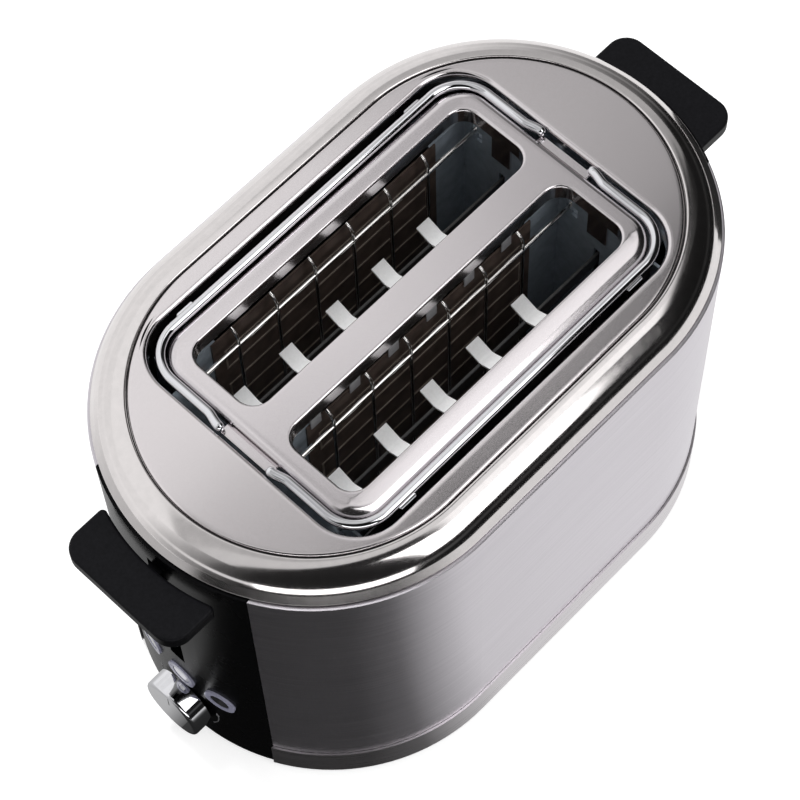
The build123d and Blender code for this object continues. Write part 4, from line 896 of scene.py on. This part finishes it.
for fade, stops in OVERHEAD_PARTS:
    past = map_range(overhead_tree, overhead_place["Y"], *fade, kind="SMOOTHSTEP")
    shade = mix_colours(overhead_tree, past, shade, ramp(overhead_tree, overhead_x, stops, *OVERHEAD_X))
glow(overhead_tree, shade)
level_card("overhead_screen", OVERHEAD_X, OVERHEAD_Y, overhead_material)

# Bright screen between the overhead screen and the side lamp, as the rounded front edges mirror it
SIDE_X, SIDE_Y = (0.2, 0.8), (-0.52, -0.06)
side_material, side_tree = new_material("side_screen")
side_x = map_range(side_tree, place_parts(side_tree)["X"], *SIDE_X)
glow(side_tree, ramp(side_tree, side_x, [(0.2, 0), (0.3, 1), (0.72, 1), (0.8, 0)], *SIDE_X), 1.3)
level_card("side_screen", SIDE_X, SIDE_Y, side_material)

# Cards on the floor, grey by direction: one all round, as the side sheets mirror it, and a black one beyond the
# far end, as the ring's lower edge mirrors it there
CARD_MIDDLE = (-0.05, 0, 0)
FLOOR_CARD = [(-180, 0.05), (-172, 0.02), (-126, 0.03), (-110, 0.11), (-96, 0.48), (-82, 0.82), (-50, 0.92),
              (-20, 1), (110, 1), (135, 0.66), (160, 0.55), (174, 0.5), (180, 0.12)]
FAR_CARD = [(-30, 0.9), (-20, 0.03), (6, 0.02), (16, 0.6)]
FAR_CORNERS = [(0.26, -0.113, 0.0008), (1.83, -0.684, 0.0008), (1.93, 0.278, 0.0008), (0.277, 0.046, 0.0008)]
card_material, card_tree = new_material("floor_card")
glow(card_tree, ramp(card_tree, around(card_tree, CARD_MIDDLE)[0], FLOOR_CARD))
card_form = bmesh.new()
bmesh.ops.create_circle(card_form, cap_ends=True, segments=64, radius=2.0, matrix=Matrix.Translation((0, 0, 0.0004)))
only_in_reflections(stage_mesh("floor_card", card_form, card_material))
far_material, far_tree = new_material("far_card")
glow(far_tree, ramp(far_tree, around(far_tree, CARD_MIDDLE)[0], FAR_CARD))
card("far_card", FAR_CORNERS, far_material)

# Lamps: the low strip shows in reflections alone, and the last two light without showing in them
soft_box("side_box", (0.33, -1.17, 1.68), (0.33, 0, AIM_HEIGHT), width=0.86, height=1.5, radiance=2.8)
low_strip = soft_box("low_strip_box", towards(-131, 15, 1.9), (0, 0, AIM_HEIGHT), width=2.1, height=0.5, radiance=2.4)
low_strip.visible_diffuse = False
for name, place, size, radiance in (("overhead_box", towards(88, 66, 1.7), 0.35, 48),
                                    ("slot_fill", towards(-125, 68, 1.5), 0.5, 2.0)):
    soft_box(name, place, (0, 0, 0.12), size, size, radiance).visible_glossy = False

# Camera, as fitted to the photo
CAMERA_PLACE = (-0.3465, -0.3517, 1.0749)
CAMERA_FORWARD = (0.31318, 0.32512, -0.89231)
CAMERA_RIGHT = (0.69127, -0.7223, -0.02055)
camera_data = bpy.data.cameras.new("photo_camera")
camera_data.lens = 121.16
camera_data.sensor_width = 36.0
camera = bpy.data.objects.new("photo_camera", camera_data)
back = -Vector(CAMERA_FORWARD).normalized()
right = Vector(CAMERA_RIGHT).normalized()
up = back.cross(right)
camera.matrix_world = Matrix.Translation(CAMERA_PLACE) @ Matrix((right, up, back)).transposed().to_4x4()
bpy.context.scene.collection.objects.link(camera)
bpy.context.scene.camera = camera

bpy.context.scene.view_settings.view_transform = "Standard"
